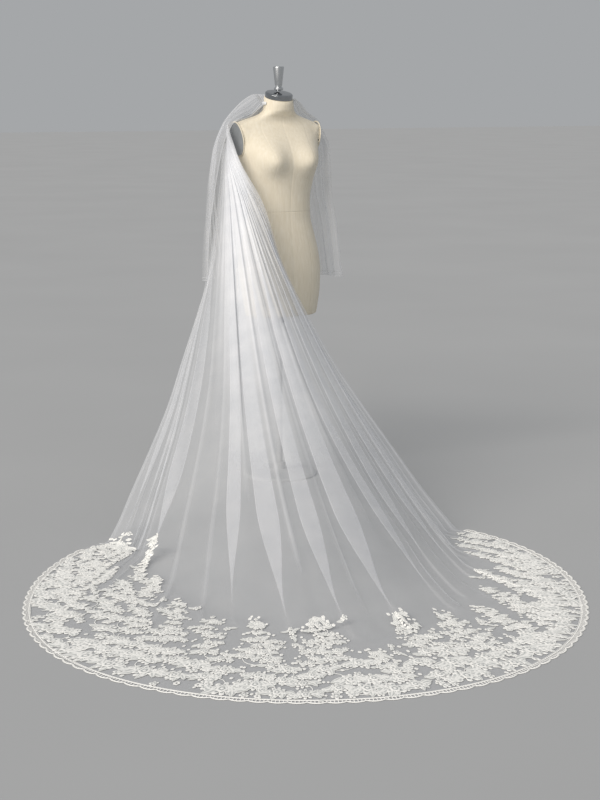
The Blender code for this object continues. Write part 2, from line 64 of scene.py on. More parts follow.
def smooth_through(knots, values, at):
    """Values of a curve that passes through the knots and doesn't overshoot between them."""
    knots = np.asarray(knots, float)
    values = np.asarray(values, float)
    flat = values.reshape(len(knots), -1)
    gaps = np.diff(knots)[:, None]
    slopes = np.diff(flat, axis=0) / gaps
    tangents = np.zeros_like(flat)
    tangents[0] = slopes[0]
    tangents[-1] = slopes[-1]
    same_way = slopes[:-1] * slopes[1:]
    total = slopes[:-1] + slopes[1:]
    safe = np.where(same_way > 0, total, 1.0)
    tangents[1:-1] = np.where(same_way > 0, 2 * same_way / safe, 0.0)
    at = np.atleast_1d(np.asarray(at, float))
    span = np.clip(np.searchsorted(knots, at, side="right") - 1, 0, len(gaps) - 1)
    gap = gaps[span]
    part = (at[:, None] - knots[span][:, None]) / gap
    square = part * part
    cube = square * part
    curve = flat[span] * (2 * cube - 3 * square + 1) + tangents[span] * gap * (cube - 2 * square + part)
    curve += flat[span + 1] * (3 * square - 2 * cube) + tangents[span + 1] * gap * (cube - square)
    return curve.reshape(len(at), *values.shape[1:])


def linear(code):
    """An sRGB hex colour as the linear colour that a shader takes."""
    channels = [int(code[i : i + 2], 16) / 255 for i in (1, 3, 5)]
    return [c / 12.92 if c <= 0.04045 else ((c + 0.055) / 1.055) ** 2.4 for c in channels] + [1.0]


def add_node(tree, kind, inputs, output=0, **settings):
    """One output of a new shader node. Its inputs, by name or number, are plain values or other outputs."""
    made = tree.nodes.new(f"ShaderNode{kind}")
    for name, value in settings.items():
        setattr(made, name, value)
    for name, value in inputs.items():
        if isinstance(value, bpy.types.NodeSocket):
            tree.links.new(value, made.inputs[name])
        else:
            made.inputs[name].default_value = value
    return made.outputs[output]


def new_finish(name):
    """An empty material with its output and Principled shader."""
    made = bpy.data.materials.new(name)
    made.use_nodes = True
    shader = made.node_tree.nodes["Principled BSDF"]
    return made, made.node_tree, shader


def colour_steps(tree, factor, steps):
    """A ramp through (place, hex colour) steps, read at a factor."""
    ramp = add_node(tree, "ValToRGB", {"Fac": factor})
    marks = ramp.node.color_ramp.elements
    while len(marks) < len(steps):
        marks.new(0.5)
    for mark, (place, code) in zip(marks, steps):
        mark.position = place
        mark.color = linear(code)
    return ramp


def place_in(tree):
    return add_node(tree, "TexCoord", {}, "Object")


def grain_of(tree, scale, detail, place=None):
    """The factor of a noise over the piece."""
    inputs = {"Vector": place or place_in(tree), "Scale": scale, "Detail": detail}
    return add_node(tree, "TexNoise", inputs, "Fac")


def bands_of(tree, axis, scale, distortion):
    """The factor of uneven bands across an axis of the piece."""
    inputs = {"Vector": place_in(tree), "Scale": scale, "Distortion": distortion, "Detail": 2.0}
    return add_node(tree, "TexWave", inputs, "Fac", bands_direction=axis)


def dress(tree, shader, factor, steps, roughness, inputs=None, relief=None):
    """Set a shader's colour steps, read at a factor, its roughness, other inputs and relief.

    The relief is its strength, its depth in metres and the factor that it follows.
    """
    tree.links.new(colour_steps(tree, factor, steps), shader.inputs["Base Color"])
    shader.inputs["Roughness"].default_value = roughness
    for name, value in (inputs or {}).items():
        shader.inputs[name].default_value = value
    if relief:
        bump = add_node(tree, "Bump", dict(zip(("Strength", "Distance", "Height"), relief)))
        tree.links.new(bump, shader.inputs["Normal"])


def into_scene(name, data):
    made = bpy.data.objects.new(name, data)
    bpy.context.scene.collection.objects.link(made)
    return made


def cloth_object(name, points, faces, finish, numbers=None):
    """A smooth mesh piece; numbers are values for each of its points, by attribute name."""
    data = bpy.data.meshes.new(name)
    data.from_pydata([tuple(p) for p in points], [], faces)
    for label, values in (numbers or {}).items():
        layer = data.attributes.new(label, "FLOAT", "POINT")
        layer.data.foreach_set("value", np.asarray(values, np.float32).ravel())
    data.materials.append(finish)
    data.update()
    data.shade_smooth()
    made = into_scene(name, data)
    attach(made, "root")
    return made


def grid_faces(rows, columns, closed=False):
    faces = []
    for row in range(rows - 1):
        for column in range(columns if closed else columns - 1):
            after = (column + 1) % columns
            low, high = row * columns, (row + 1) * columns
            faces.append((low + column, low + after, high + after, high + column))
    return faces


TORSO_SECTIONS = (
    # height, half width, depth to the front, depth to the back, how far its middle lies back
    (0.656, 0.147, 0.104, 0.107, 0.000),
    (0.661, 0.154, 0.110, 0.113, 0.000),
    (0.700, 0.161, 0.116, 0.122, 0.000),
    (0.760, 0.169, 0.120, 0.132, 0.000),
    (0.830, 0.171, 0.121, 0.134, 0.000),
    (0.900, 0.163, 0.116, 0.122, 0.000),
    (0.970, 0.146, 0.106, 0.104, 0.000),
    (1.050, 0.128, 0.095, 0.090, 0.000),
    (1.115, 0.126, 0.096, 0.088, 0.000),
    (1.180, 0.138, 0.105, 0.096, 0.002),
    (1.240, 0.150, 0.113, 0.104, 0.006),
    (1.290, 0.166, 0.108, 0.106, 0.012),
    (1.340, 0.175, 0.094, 0.098, 0.020),
    (1.375, 0.184, 0.076, 0.082, 0.026),
    (1.400, 0.180, 0.060, 0.066, 0.026),
    (1.415, 0.146, 0.052, 0.056, 0.022),
    (1.428, 0.104, 0.050, 0.052, 0.016),
    (1.440, 0.076, 0.053, 0.056, 0.008),
    (1.455, 0.0625, 0.0580, 0.0600, 0.002),
    (1.475, 0.0585, 0.0585, 0.0585, 0.000),
    (1.499, 0.0565, 0.0565, 0.0565, 0.000),
)
NECK_TOP = 1.499
NECK_LEAN = math.radians(14)
NECK_LEAN_FROM = 1.475
BUST_POINT = (0.088, 1.262)  # from the front seam, and height
BUST_SIZE = (0.062, 0.062)  # half width and half height of a breast
BUST_RISE = 0.050
BUST_UNDERSIDE = 1.25  # how much shorter a breast is below its point
ARMHOLE_PLACE = (0.1690, 0.022, 1.345)  # out, back and up
ARMHOLE_LEAN = math.radians(10)
ARMHOLE_SIZE = (0.050, 0.064)
ARMHOLE_FLAT_FROM = 1.270  # height from which the sides are drawn flat for the plates
ARMHOLE_RIM_SLOPE = 0.30  # the linen is drawn flat to the edge of the plate and falls away outside it
ARMHOLE_RIM_FROM = 0.10  # out from the middle
SEAM_ANGLES = (0, 61, 90, 119, 180, 242, 270, 298)  # degrees round from the form's left to its front
SEAM_DEPTH = 0.0011
SEAM_HALF = 0.9  # degrees
WAIST_SEAM = (1.0635, 1.0670)
WAIST_SEAM_DEPTH = 0.0016
NECK_FOOT = (1.440, 1.455)
BODY_ROUNDNESS = 2 / 2.25  # below the neck its sections are slightly squared ovals
SHOULDER_TOP = (1.398, 1.408)  # heights between which the rim round the plates gives way to the shoulder


def torso_levels():
    plain = list(np.linspace(0.656, 0.666, 6)) + list(np.linspace(0.68, 1.37, 58))
    plain += list(np.linspace(1.376, NECK_TOP, 34))
    low, high = WAIST_SEAM
    clear = [level for level in plain if not low - 0.004 < level < high + 0.004]
    return sorted(clear + [low - 0.002, low, (low + high) / 2, high, high + 0.002])


def torso_points(levels, angles):
    """Points of the linen at heights, by degrees round from the form's left."""
    shape = smooth_through([row[0] for row in TORSO_SECTIONS], [row[1:] for row in TORSO_SECTIONS], levels)
    height = np.array(levels)[:, None]
    half, front, back, middle = (shape[:, i : i + 1] for i in range(4))
    turn = np.radians(angles)[None, :]
    cosine = np.cos(turn)
    sine = np.sin(turn)
    power = np.interp(height, NECK_FOOT, (BODY_ROUNDNESS, 1.0))
    x = half * np.sign(cosine) * np.abs(cosine) ** power
    y = middle - np.where(sine > 0, front, back) * np.sign(sine) * np.abs(sine) ** power
    for side in (-1, 1):
        off_side = (x - side * BUST_POINT[0]) / BUST_SIZE[0]
        off_height = (height - BUST_POINT[1]) / BUST_SIZE[1]
        off_height = np.where(height < BUST_POINT[1], off_height * BUST_UNDERSIDE, off_height)
        y = y - BUST_RISE * np.exp(-(off_side**2) - off_height**2) * np.sqrt(np.clip(sine, 0, 1))
    limit = ARMHOLE_PLACE[0] + (height - ARMHOLE_PLACE[2]) * math.tan(ARMHOLE_LEAN)
    x = np.where(height > ARMHOLE_FLAT_FROM, np.clip(x, -limit, limit), x)
    off_back = (y - ARMHOLE_PLACE[1]) / ARMHOLE_SIZE[0]
    from_plate = np.hypot(off_back, (height - ARMHOLE_PLACE[2]) / ARMHOLE_SIZE[1])
    rim = limit - ARMHOLE_RIM_SLOPE * np.clip(from_plate - 1.0, 0, None)
    rim = rim * np.interp(height, SHOULDER_TOP, (1.0, 0.0))
    x = np.where(np.abs(x) > ARMHOLE_RIM_FROM, np.sign(x) * np.maximum(np.abs(x), rim), x)
    off_seam = np.min([np.abs((np.array(angles) - seam + 180) % 360 - 180) for seam in SEAM_ANGLES], axis=0)
    sunk = SEAM_DEPTH * np.clip(1 - off_seam / SEAM_HALF, 0, 1)[None, :]
    in_seam = (height > WAIST_SEAM[0]) & (height < WAIST_SEAM[1])
    sunk = np.where(in_seam, WAIST_SEAM_DEPTH, sunk)
    length = np.hypot(x, y - middle)
    x = x - x / length * sunk
    y = y - (y - middle) / length * sunk
    lean = np.clip((height - NECK_LEAN_FROM) / (NECK_TOP - NECK_LEAN_FROM), 0, 1)
    z = height + y * math.tan(NECK_LEAN) * lean
    return np.stack(np.broadcast_arrays(x, y, z), axis=-1)


# Woven linen, unbleached and undyed: a matt cream with slubs along its threads and a soft nap at the edges.
# Its threads are 0.6 mm apart, too fine to show, so the weave is drawn at 2.4 mm.
linen, tree, shader = new_finish("woven_cream_linen")
warp, weft = (bands_of(tree, axis, 130.0, 1.5) for axis in ("Z", "X"))
weave = add_node(tree, "Math", {0: warp, 1: weft}, operation="MULTIPLY")
drawn_out = add_node(tree, "Mapping", {"Vector": place_in(tree), "Scale": (60.0, 60.0, 9.0)})
slubs = grain_of(tree, 2.2, 4.0, drawn_out)
linen_tones = ((0.25, "#E4DAC4"), (0.55, "#EAE1CD"), (0.8, "#EFE7D6"))
dress(tree, shader, slubs, linen_tones, 0.86, {"Sheen Weight": 0.25}, (0.25, 0.0006, weave))

torso_angles = list(np.arange(0, 360, 4.0))
for seam in SEAM_ANGLES:
    torso_angles = [a for a in torso_angles if abs((a - seam + 180) % 360 - 180) > 2.2]
for seam in SEAM_ANGLES:
    torso_angles += [(seam + step * SEAM_HALF) % 360 for step in (-2, -1, 0, 1, 2)]
torso_angles = sorted(torso_angles)
levels = torso_levels()
around = torso_points(levels, torso_angles)
columns = len(torso_angles)
faces = [face[::-1] for face in grid_faces(len(levels), columns, closed=True)]
faces.append(tuple(range(columns)))
faces.append(tuple(reversed(range((len(levels) - 1) * columns, len(levels) * columns))))
torso = cloth_object("linen_torso", around.reshape(-1, 3), faces, linen)
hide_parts("form_torso")


# Armholes -------------------------------------------------------------------------------------------------
# Each armhole is closed by an oval grey moulded plate, screwed to the shell, and the linen is turned round
# its edge over a cord as a cream piping.


def grained_finish(name, grain, steps, roughness, inputs=None, relief=None):
    """A material whose colours, and relief as (strength, depth), follow a grain of (scale, detail)."""
    made, tree, shader = new_finish(name)
    factor = grain_of(tree, *grain)
    dress(tree, shader, factor, steps, roughness, inputs, relief and (*relief, factor))
    return made


def repaint(node, finish):
    """Show a plain CAD solid as it is, in a finish."""
    node.data.materials.clear()
    node.data.materials.append(finish)


# Moulded ABS in a satin grey: fine moulded grain, slightly glossy.
plate_tones = ((0.3, "#8B8F92"), (0.7, "#9A9EA0"))
plate_grey = grained_finish(
    "moulded_grey_abs", (420.0, 3.0), plate_tones, 0.42, {"IOR": 1.54}, (0.15, 0.0003)
)

# Linen cut on the bias over a cord: the same cream, its weave too fine to show here.
piping_tones = ((0.3, "#DDD3BD"), (0.7, "#EDE5D3"))
piping_linen = grained_finish(
    "bias_linen_piping", (260.0, 3.0), piping_tones, 0.8, {"Sheen Weight": 0.2}, (0.3, 0.0004)
)

PIPING_RADIUS = 0.0024
PIPING_PAST_EDGE = 0.001
PIPING_OUT = 0.0014
for label, side in (("left", 1), ("right", -1)):
    repaint(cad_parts[f"armhole_plate_{label}"], plate_grey)
    bpy.ops.object.select_all(action="DESELECT")
    bpy.ops.mesh.primitive_torus_add(
        major_segments=64, minor_segments=12, major_radius=1.0, minor_radius=PIPING_RADIUS / ARMHOLE_SIZE[0]
    )
    piping = bpy.context.object
    piping.name = f"armhole_piping_{label}"
    out, back, up = ARMHOLE_PLACE
    lean = Matrix.Rotation(side * ARMHOLE_LEAN, 4, "Y") @ Matrix.Rotation(math.pi / 2, 4, "Y")
    deep, high = (size + PIPING_PAST_EDGE for size in ARMHOLE_SIZE)
    size = Matrix.Diagonal((high, deep, ARMHOLE_SIZE[0], 1.0))
    piping.matrix_world = Matrix.Translation((side * (out + PIPING_OUT), back, up)) @ lean @ size
    bpy.ops.object.transform_apply(location=True, rotation=True, scale=True)
    bpy.ops.object.shade_smooth()
    piping.data.materials.append(piping_linen)
    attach(piping, "root")


# Neck cap, finial and stand -------------------------------------------------------------------------------
# The cap is a polished chromed disc screwed to the top of the neck, which leans forward, and the finial is
# turned from aluminium. A chromed collar clamps the form to a tube on a round, powder-coated steel base.


def turned_piece(name, profile, sides, finish, edge=0.0006):
    """A turned solid, drawn up from a disc ring by ring through (radius, height), its edges eased."""
    bpy.ops.object.select_all(action="DESELECT")
    radius, height = profile[0]
    foot = (0, 0, height)
    bpy.ops.mesh.primitive_circle_add(vertices=sides, radius=radius, fill_type="NGON", location=foot)
    made = bpy.context.object
    made.name = name
    bpy.ops.object.transform_apply(location=True, rotation=True, scale=True)
    bpy.ops.object.mode_set(mode="EDIT")
    bpy.ops.mesh.select_all(action="SELECT")
    for further, higher in profile[1:]:
        bpy.ops.mesh.extrude_region_move(TRANSFORM_OT_translate={"value": (0, 0, higher - height)})
        grown = further / radius
        bpy.ops.transform.resize(value=(grown, grown, 1.0), center_override=(0, 0, higher))
        radius, height = further, higher
    bpy.ops.mesh.select_all(action="SELECT")
    bpy.ops.mesh.normals_make_consistent(inside=False)
    bpy.ops.object.mode_set(mode="OBJECT")
    bevel = made.modifiers.new("eased_edges", "BEVEL")
    bevel.width = edge
    bevel.segments = 3
    bevel.limit_method = "ANGLE"
    bevel.angle_limit = math.radians(30)
    bpy.ops.object.modifier_apply(modifier=bevel.name)
    bpy.ops.object.shade_smooth_by_angle(angle=math.radians(40))
    made.data.materials.append(finish)
    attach(made, "root")
    return made


# Chromed brass, polished: a mirror, faintly blurred by rubbing. Its colours are a mid grey, darker than
# chrome's own, as a painted reflection of dark surroundings.
chrome, tree, shader = new_finish("polished_chrome_plate")
rub = grain_of(tree, 70.0, 5.0)
# The mid grey steps are a painted dark reflection, not the metal's own brightness.
dress(tree, shader, rub, ((0.3, "#9A9DA0"), (0.7, "#A8ABAE")), 0.15, {"Metallic": 1.0})
gloss = add_node(tree, "MapRange", {"Value": rub, "To Min": 0.10, "To Max": 0.20})
tree.links.new(gloss, shader.inputs["Roughness"])

# Turned aluminium, satin: fine rings from the lathe at 0.4 mm, drawn at 1.5 mm.
aluminium, tree, shader = new_finish("turned_satin_aluminium")
rings = bands_of(tree, "Z", 210.0, 0.4)
aluminium_tones = ((0.2, "#BFC2C4"), (0.8, "#D2D4D6"))
dress(tree, shader, rings, aluminium_tones, 0.34, {"Metallic": 1.0}, (0.12, 0.0002, rings))

# Powder-coated steel in a quiet grey: a faint orange peel, satin.
coat_tones = ((0.3, "#A4A6A8"), (0.7, "#AAACAE"))
powder_coat = grained_finish("powder_coated_grey_steel", (300.0, 2.0), coat_tones, 0.5, relief=(0.2, 0.0004))

CAP_RADIUS = 0.054
CAP_HEIGHT = 0.022
cap_profile = (
    (CAP_RADIUS - 0.0015, 0.0003),
    (CAP_RADIUS, 0.0015),
    (CAP_RADIUS, 0.0180),
    (CAP_RADIUS - 0.0040, 0.0215),
    (CAP_RADIUS - 0.0200, CAP_HEIGHT),
)
cap = turned_piece("chromed_neck_cap", cap_profile, 64, chrome, edge=0.0008)
cap.matrix_world = Matrix.Translation((0, 0, NECK_TOP)) @ Matrix.Rotation(NECK_LEAN, 4, "X")
bpy.ops.object.transform_apply(location=True, rotation=True, scale=True)
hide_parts("neck_cap")

finial_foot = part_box("finial")[0][2]
finial_profile = (
    (0.0080, 0.000),
    (0.0080, 0.0045),
    (0.0165, 0.0060),
    (0.0175, 0.0070),
    (0.0175, 0.0140),
    (0.0165, 0.0150),
    (0.0125, 0.0180),
    (0.0128, 0.0210),
    (0.0140, 0.0230),
    (0.0176, 0.0570),
    (0.0213, 0.0905),
    (0.0210, 0.0935),
    (0.0195, 0.0950),
)
finial = turned_piece("turned_finial", [(r, finial_foot + h) for r, h in finial_profile], 40, aluminium)
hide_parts("finial")

low, high = (corner[2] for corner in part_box("stand_collar"))
COLLAR_RADIUS = 0.0220
COLLAR_GROOVE = 0.0205
collar_profile = (
    (COLLAR_GROOVE, low),
    (COLLAR_RADIUS, low + 0.0015),
    (COLLAR_RADIUS, high - 0.0060),
    (COLLAR_GROOVE, high - 0.0050),
    (COLLAR_GROOVE, high - 0.0040),
    (COLLAR_RADIUS, high - 0.0030),
    (COLLAR_RADIUS, high),
)
collar = turned_piece("chromed_collar", collar_profile, 40, chrome, edge=0.0004)
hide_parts("stand_collar")

for label in ("stand_pole", "stand_base"):
    repaint(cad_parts[label], powder_coat)


# Bridal tulle ---------------------------------------------------------------------------------------------
# A soft nylon net that both tiers are cut from, one layer of it nearly clear. How much it hides depends on
# how many layers its gathers and creases press together, which each sheet holds in its attribute "layers".

# White nylon net: a faint satin shimmer from its threads. Its holes are 1.2 mm wide, too fine to show, so a
# layer hides the share that its threads cover, with the net drawn over it at 5 mm as a slight change.
ONE_LAYER_HIDES = 0.23
tulle, tree, shader = new_finish("white_nylon_tulle")
tulle_tones = ((0.3, "#DEE1E6"), (0.7, "#E9EBEF"))
sheen = {"Sheen Weight": 0.5, "Sheen Roughness": 0.4}
dress(tree, shader, grain_of(tree, 14.0, 3.0), tulle_tones, 0.62, sheen)
layers = add_node(tree, "Attribute", {}, "Fac", attribute_name="layers")
net = add_node(
    tree, "TexVoronoi", {"Vector": place_in(tree), "Scale": 200.0}, "Distance", feature="DISTANCE_TO_EDGE"
)
threads = add_node(tree, "MapRange", {"Value": net, "From Max": 0.35, "To Min": 1.10, "To Max": 0.92})
folded = add_node(tree, "Math", {0: layers, 1: threads}, operation="MULTIPLY")
seen = add_node(tree, "Math", {0: 1 - ONE_LAYER_HIDES, 1: folded}, operation="POWER")
hidden = add_node(tree, "Math", {0: 1.0, 1: seen}, operation="SUBTRACT", use_clamp=True)
tree.links.new(hidden, shader.inputs["Alpha"])


# Gathered header ------------------------------------------------------------------------------------------
# A narrow ruched band of tulle round the back of the neck, with both tiers gathered into it by a running
# stitch. No comb shows.
HEADER_HEIGHTS = (1.4740, 1.4860)
HEADER_RADII = (0.0592, 0.0645)
HEADER_SWEEP = 100.0
HEADER_STEPS = 320
HEADER_ROUND = 14

# The same net, ruched so closely that it hides all behind it.
ruched_tones = ((0.3, "#E2E5E9"), (0.7, "#F7F8FA"))
ruched_tulle = grained_finish(
    "ruched_tulle", (190.0, 4.0), ruched_tones, 0.65, {"Sheen Weight": 0.4}, (0.4, 0.0006)
)

loops = []
for step in range(HEADER_STEPS + 1):
    turn = math.radians(mixed(-HEADER_SWEEP, HEADER_SWEEP, step / HEADER_STEPS))
    strength = 0.75 + 0.25 * math.sin(step * 0.31)
    pucker = 0.5 + 0.5 * math.sin(step * 1.05 + 1.3 * math.sin(step * 0.17)) * strength
    bulge = 0.80 + 0.20 * pucker
    loop = []
    for corner in range(HEADER_ROUND):
        round_it = math.tau * corner / HEADER_ROUND
        radius = mixed(*HEADER_RADII, 0.5 + 0.5 * math.cos(round_it) * bulge)
        height = mixed(*HEADER_HEIGHTS, 0.5 + 0.5 * math.sin(round_it) * (0.92 + 0.08 * pucker))
        loop.append((radius * math.sin(turn), radius * math.cos(turn), height))
    loops.append(loop)
faces = grid_faces(HEADER_STEPS + 1, HEADER_ROUND, closed=True)
faces.append(tuple(reversed(range(HEADER_ROUND))))
faces.append(tuple(range(HEADER_STEPS * HEADER_ROUND, (HEADER_STEPS + 1) * HEADER_ROUND)))
header = cloth_object("ruched_header", np.array(loops).reshape(-1, 3), faces, ruched_tulle)
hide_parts("gathered_header")


# Short tier -----------------------------------------------------------------------------------------------
# The upper layer of the veil: a wide piece of tulle gathered to the header that puffs up behind the neck
# and falls round the back in soft flutes to the hips. Its hem is a line of stitching close to a cut edge.
CAPE_LEVELS = (
    # height, out to the right, left and back, how far round on the right and left, depth of its flutes, how
    # much lower it lies on the left and along its edge on the right shoulder, and layers
    (1.4830, 0.0655, 0.0655, 0.0655, 98.0, 95.0, 0.0010, 0.000, 0.000, 5.0),
    (1.5150, 0.0900, 0.0710, 0.0980, 98.0, 95.0, 0.0024, 0.018, 0.040, 2.8),
    (1.5010, 0.1220, 0.0940, 0.1250, 98.0, 95.0, 0.0038, 0.022, 0.056, 2.2),
    (1.4610, 0.1700, 0.1220, 0.1600, 97.0, 90.0, 0.0052, 0.008, 0.034, 2.1),
    (1.4020, 0.2170, 0.2150, 0.1980, 96.0, 80.0, 0.0064, 0.004, 0.008, 2.1),
    (1.3000, 0.2560, 0.2300, 0.2280, 94.0, 90.0, 0.0080, 0.000, 0.000, 2.0),
    (1.1500, 0.2720, 0.2310, 0.2420, 88.0, 92.0, 0.0100, 0.000, 0.000, 1.8),
    (0.9900, 0.2760, 0.2480, 0.2500, 77.0, 95.0, 0.0120, 0.000, 0.000, 1.6),
    (0.7880, 0.2790, 0.2700, 0.2580, 62.0, 95.0, 0.0145, 0.000, 0.000, 1.4),
)
CAPE_DROP_FROM = math.radians(55)
CAPE_DROP_OVER = math.radians(43)
CAPE_FLUTES = 17
CAPE_COLUMNS = 26 * CAPE_FLUTES
CAPE_ROWS = 96
# Rows close to the hem, in metres up from it, for the line of stitching and the cut edge.
CAPE_HEM_ROWS = (0.016, 0.0145, 0.013, 0.0115, 0.004, 0.0025, 0.001, 0.0)
CAPE_STITCHES = 0.0138


def flute_depth(share):
    turn = math.tau * CAPE_FLUTES * share
    wander = 0.9 * np.sin(turn / 3.7 + 0.6) + 0.5 * np.sin(turn / 2.3 + 2.0)
    strength = 0.68 + 0.32 * np.sin(turn / 5.1 + 1.2)
    return (0.5 - 0.5 * np.cos(turn + wander)) * strength, turn + wander


control = np.array(CAPE_LEVELS)
profile = np.hypot(np.diff(control[:, 0]), np.diff(control[:, 3]))
knots = np.concatenate(([0.0], np.cumsum(profile)))
hem_lines = [knots[-1] - back for back in CAPE_HEM_ROWS]
places = sorted(list(np.linspace(0, knots[-1] - 0.022, CAPE_ROWS)) + hem_lines)
height, right, left, back, right_sweep, left_sweep, flute, left_drop, right_drop, pressed = (
    column[:, None] for column in smooth_through(knots, control, places).T
)
share = np.linspace(0, 1, CAPE_COLUMNS + 1)[None, :]
angle = np.radians(mixed(-right_sweep, left_sweep, share))
side = np.where(angle < 0, right, left)
depth, phase = flute_depth(share)
# Small pleats between the flutes, and the hanging sheet they give.
down = np.array(places)[:, None] / knots[-1]
ripple = 0.18 * np.sin(3 * phase + 2.1 * np.sin(5.3 * down + 9 * share)) * eased((down - 0.12) / 0.3)
ripple = ripple + 0.04 * np.sin(7.3 * phase + 3 * down) * (1 - down) ** 0.5
out = 2 * flute * (depth + 0.5 * ripple)
level = height - left_drop * eased(2 * angle / math.pi)
level = level - right_drop * eased((-angle - CAPE_DROP_FROM) / CAPE_DROP_OVER)
level_x = side * np.sin(angle)
level_y = back * np.cos(angle)
across = np.stack((np.sin(angle) / side, np.cos(angle) / back), axis=-1)
across /= np.linalg.norm(across, axis=2, keepdims=True)
cape_points = np.stack((level_x + across[..., 0] * out, level_y + across[..., 1] * out, level), axis=-1)

# Layers: more on the flanks of the flutes and in fine creases, doubled at the hem's stitches and cut edges.
flank = np.abs(np.sin(phase)) ** 3
fine = 0.5 + 0.5 * np.sin(11.7 * phase + 2.5 * np.sin(3.1 * phase + 1.0))
crease = np.clip(0.5 + 0.5 * np.sin(4.3 * phase + 1.7 * np.sin(1.9 * phase)), 0, 1) ** 10
cape_layers = pressed * (0.62 + 0.55 * flank + 0.16 * fine * (1 - down) + 0.6 * crease)
from_hem = knots[-1] - np.array(places)[:, None]
cape_layers = cape_layers + 3.0 * ((from_hem < 0.003) | (np.abs(from_hem - CAPE_STITCHES) < 0.0012))
edge = np.minimum(share, 1 - share)
cape_layers = cape_layers * mixed(0.35 + 0.2 * down, 1.0, eased(share / 0.36) * eased((1 - share) / 0.06))
cape_layers = cape_layers + 1.2 * (edge < 0.0035)
faces = grid_faces(len(places), CAPE_COLUMNS + 1)
cape = cloth_object("short_tier_tulle", cape_points.reshape(-1, 3), faces, tulle, {"layers": cape_layers})
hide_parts("short_tier")


# Long tier ------------------------------------------------------------------------------------------------
# The cathedral layer: a long round-ended piece of tulle gathered to the header at the back of the neck. It
# goes over the right shoulder, falls in flat pressed folds of three layers and fans out on the floor.
TRAIN_TURN = math.radians(-30)
HEM_MIDDLE = np.array((0.10, 1.51))  # across the fan, and ahead of the form
HEM_RADIUS = 0.875
HEM_NARROWING = 0.016
HEM_SQUARING = 0.009
HEM_START = 214.0
HEM_SWEEP = 264.0
HEM_LENGTH = HEM_RADIUS * math.radians(HEM_SWEEP)
SHOULDER_HEIGHT = 1.30
SHOULDER_ENDS = np.array(((-0.222, -0.025), (-0.170, 0.13)))
TRAIN_LAID = (
    # share across the fan, length of cloth on the floor
    (0.00, 0.06),
    (0.06, 0.26),
    (0.13, 0.50),
    (0.22, 0.78),
    (0.30, 0.84),
    (0.38, 0.70),
    (0.45, 0.54),
    (0.52, 0.46),
    (0.60, 0.46),
    (0.70, 0.53),
    (0.80, 0.50),
    (0.90, 0.36),
    (0.96, 0.20),
    (1.00, 0.03),
)
LAID_FLAT = 0.90
TRAIN_FALL = (
    # height, share of the way to the floor at the left edge, middle and right edge
    (1.300, 0.000, 0.000, 0.012),
    (1.100, 0.020, 0.110, 0.145),
    (0.900, 0.078, 0.224, 0.225),
    (0.700, 0.235, 0.347, 0.350),
    (0.530, 0.385, 0.461, 0.475),
    (0.380, 0.515, 0.572, 0.610),
    (0.250, 0.665, 0.680, 0.735),
    (0.130, 0.815, 0.796, 0.850),
    (0.040, 0.925, 0.900, 0.950),
    (0.000, 1.000, 1.000, 1.000),
)
TRAIN_TOP = (0.0655, 1.4760)
TRAIN_TOP_SWEEP = (38.0, -95.0)
TRAIN_OVER = (
    # left edge x, y, z, right edge x, y, z, how far it stands out between them
    (0.0300, 0.1300, 1.4120, -0.1200, 0.0220, 1.4290, 0.022),
    (-0.0960, 0.1520, 1.3680, -0.2060, 0.0300, 1.4020, 0.018),
)
EDGE_BLEND = 0.4  # share of the fan over which an edge's way down passes into the middle's
CLOTH_MIDDLE = 0.0005


def placed(plan, height):
    """Points across and ahead in the fan's own axes, at a height, in the form's axes."""
    cosine = math.cos(TRAIN_TURN)
    sine = math.sin(TRAIN_TURN)
    across, ahead = plan[..., 0], plan[..., 1]
    height = np.broadcast_to(height, across.shape)
    return np.stack((cosine * across + sine * ahead, sine * across - cosine * ahead, height), axis=-1)


def normals_of(points):
    """Unit normals of a sheet of points, rows by columns."""
    down = np.gradient(points, axis=0)
    along = np.gradient(points, axis=1)
    out = np.cross(along, down)
    return out / np.maximum(np.linalg.norm(out, axis=2, keepdims=True), 1e-9)


def hem_plan(share, inset=0.0):
    """Points of the hem, or of a line that much in from it, in the fan's own axes."""
    turn = np.radians(HEM_START - HEM_SWEEP * np.asarray(share, float))
    radius = HEM_RADIUS - HEM_NARROWING * np.cos(2 * turn) - HEM_SQUARING * np.cos(4 * turn) - inset
    return HEM_MIDDLE + radius[..., None] * np.stack((np.cos(turn), np.sin(turn)), axis=-1)


def unit(vectors):
    return vectors / np.linalg.norm(vectors, axis=-1, keepdims=True)


def landing_plan(share):
    """Where the cloth comes down on the floor, in the fan's own axes."""
    hem = hem_plan(share)
    to_shoulder = unit(mixed(SHOULDER_ENDS[0], SHOULDER_ENDS[1], share[..., None]) - hem)
    to_middle = unit(HEM_MIDDLE - hem)
    inward = 0.3 * (1 - eased(np.minimum(share, 1 - share) / 0.3))[..., None]
    return hem + unit(mixed(to_shoulder, to_middle, inward)) * np.interp(share, *zip(*TRAIN_LAID))[..., None]


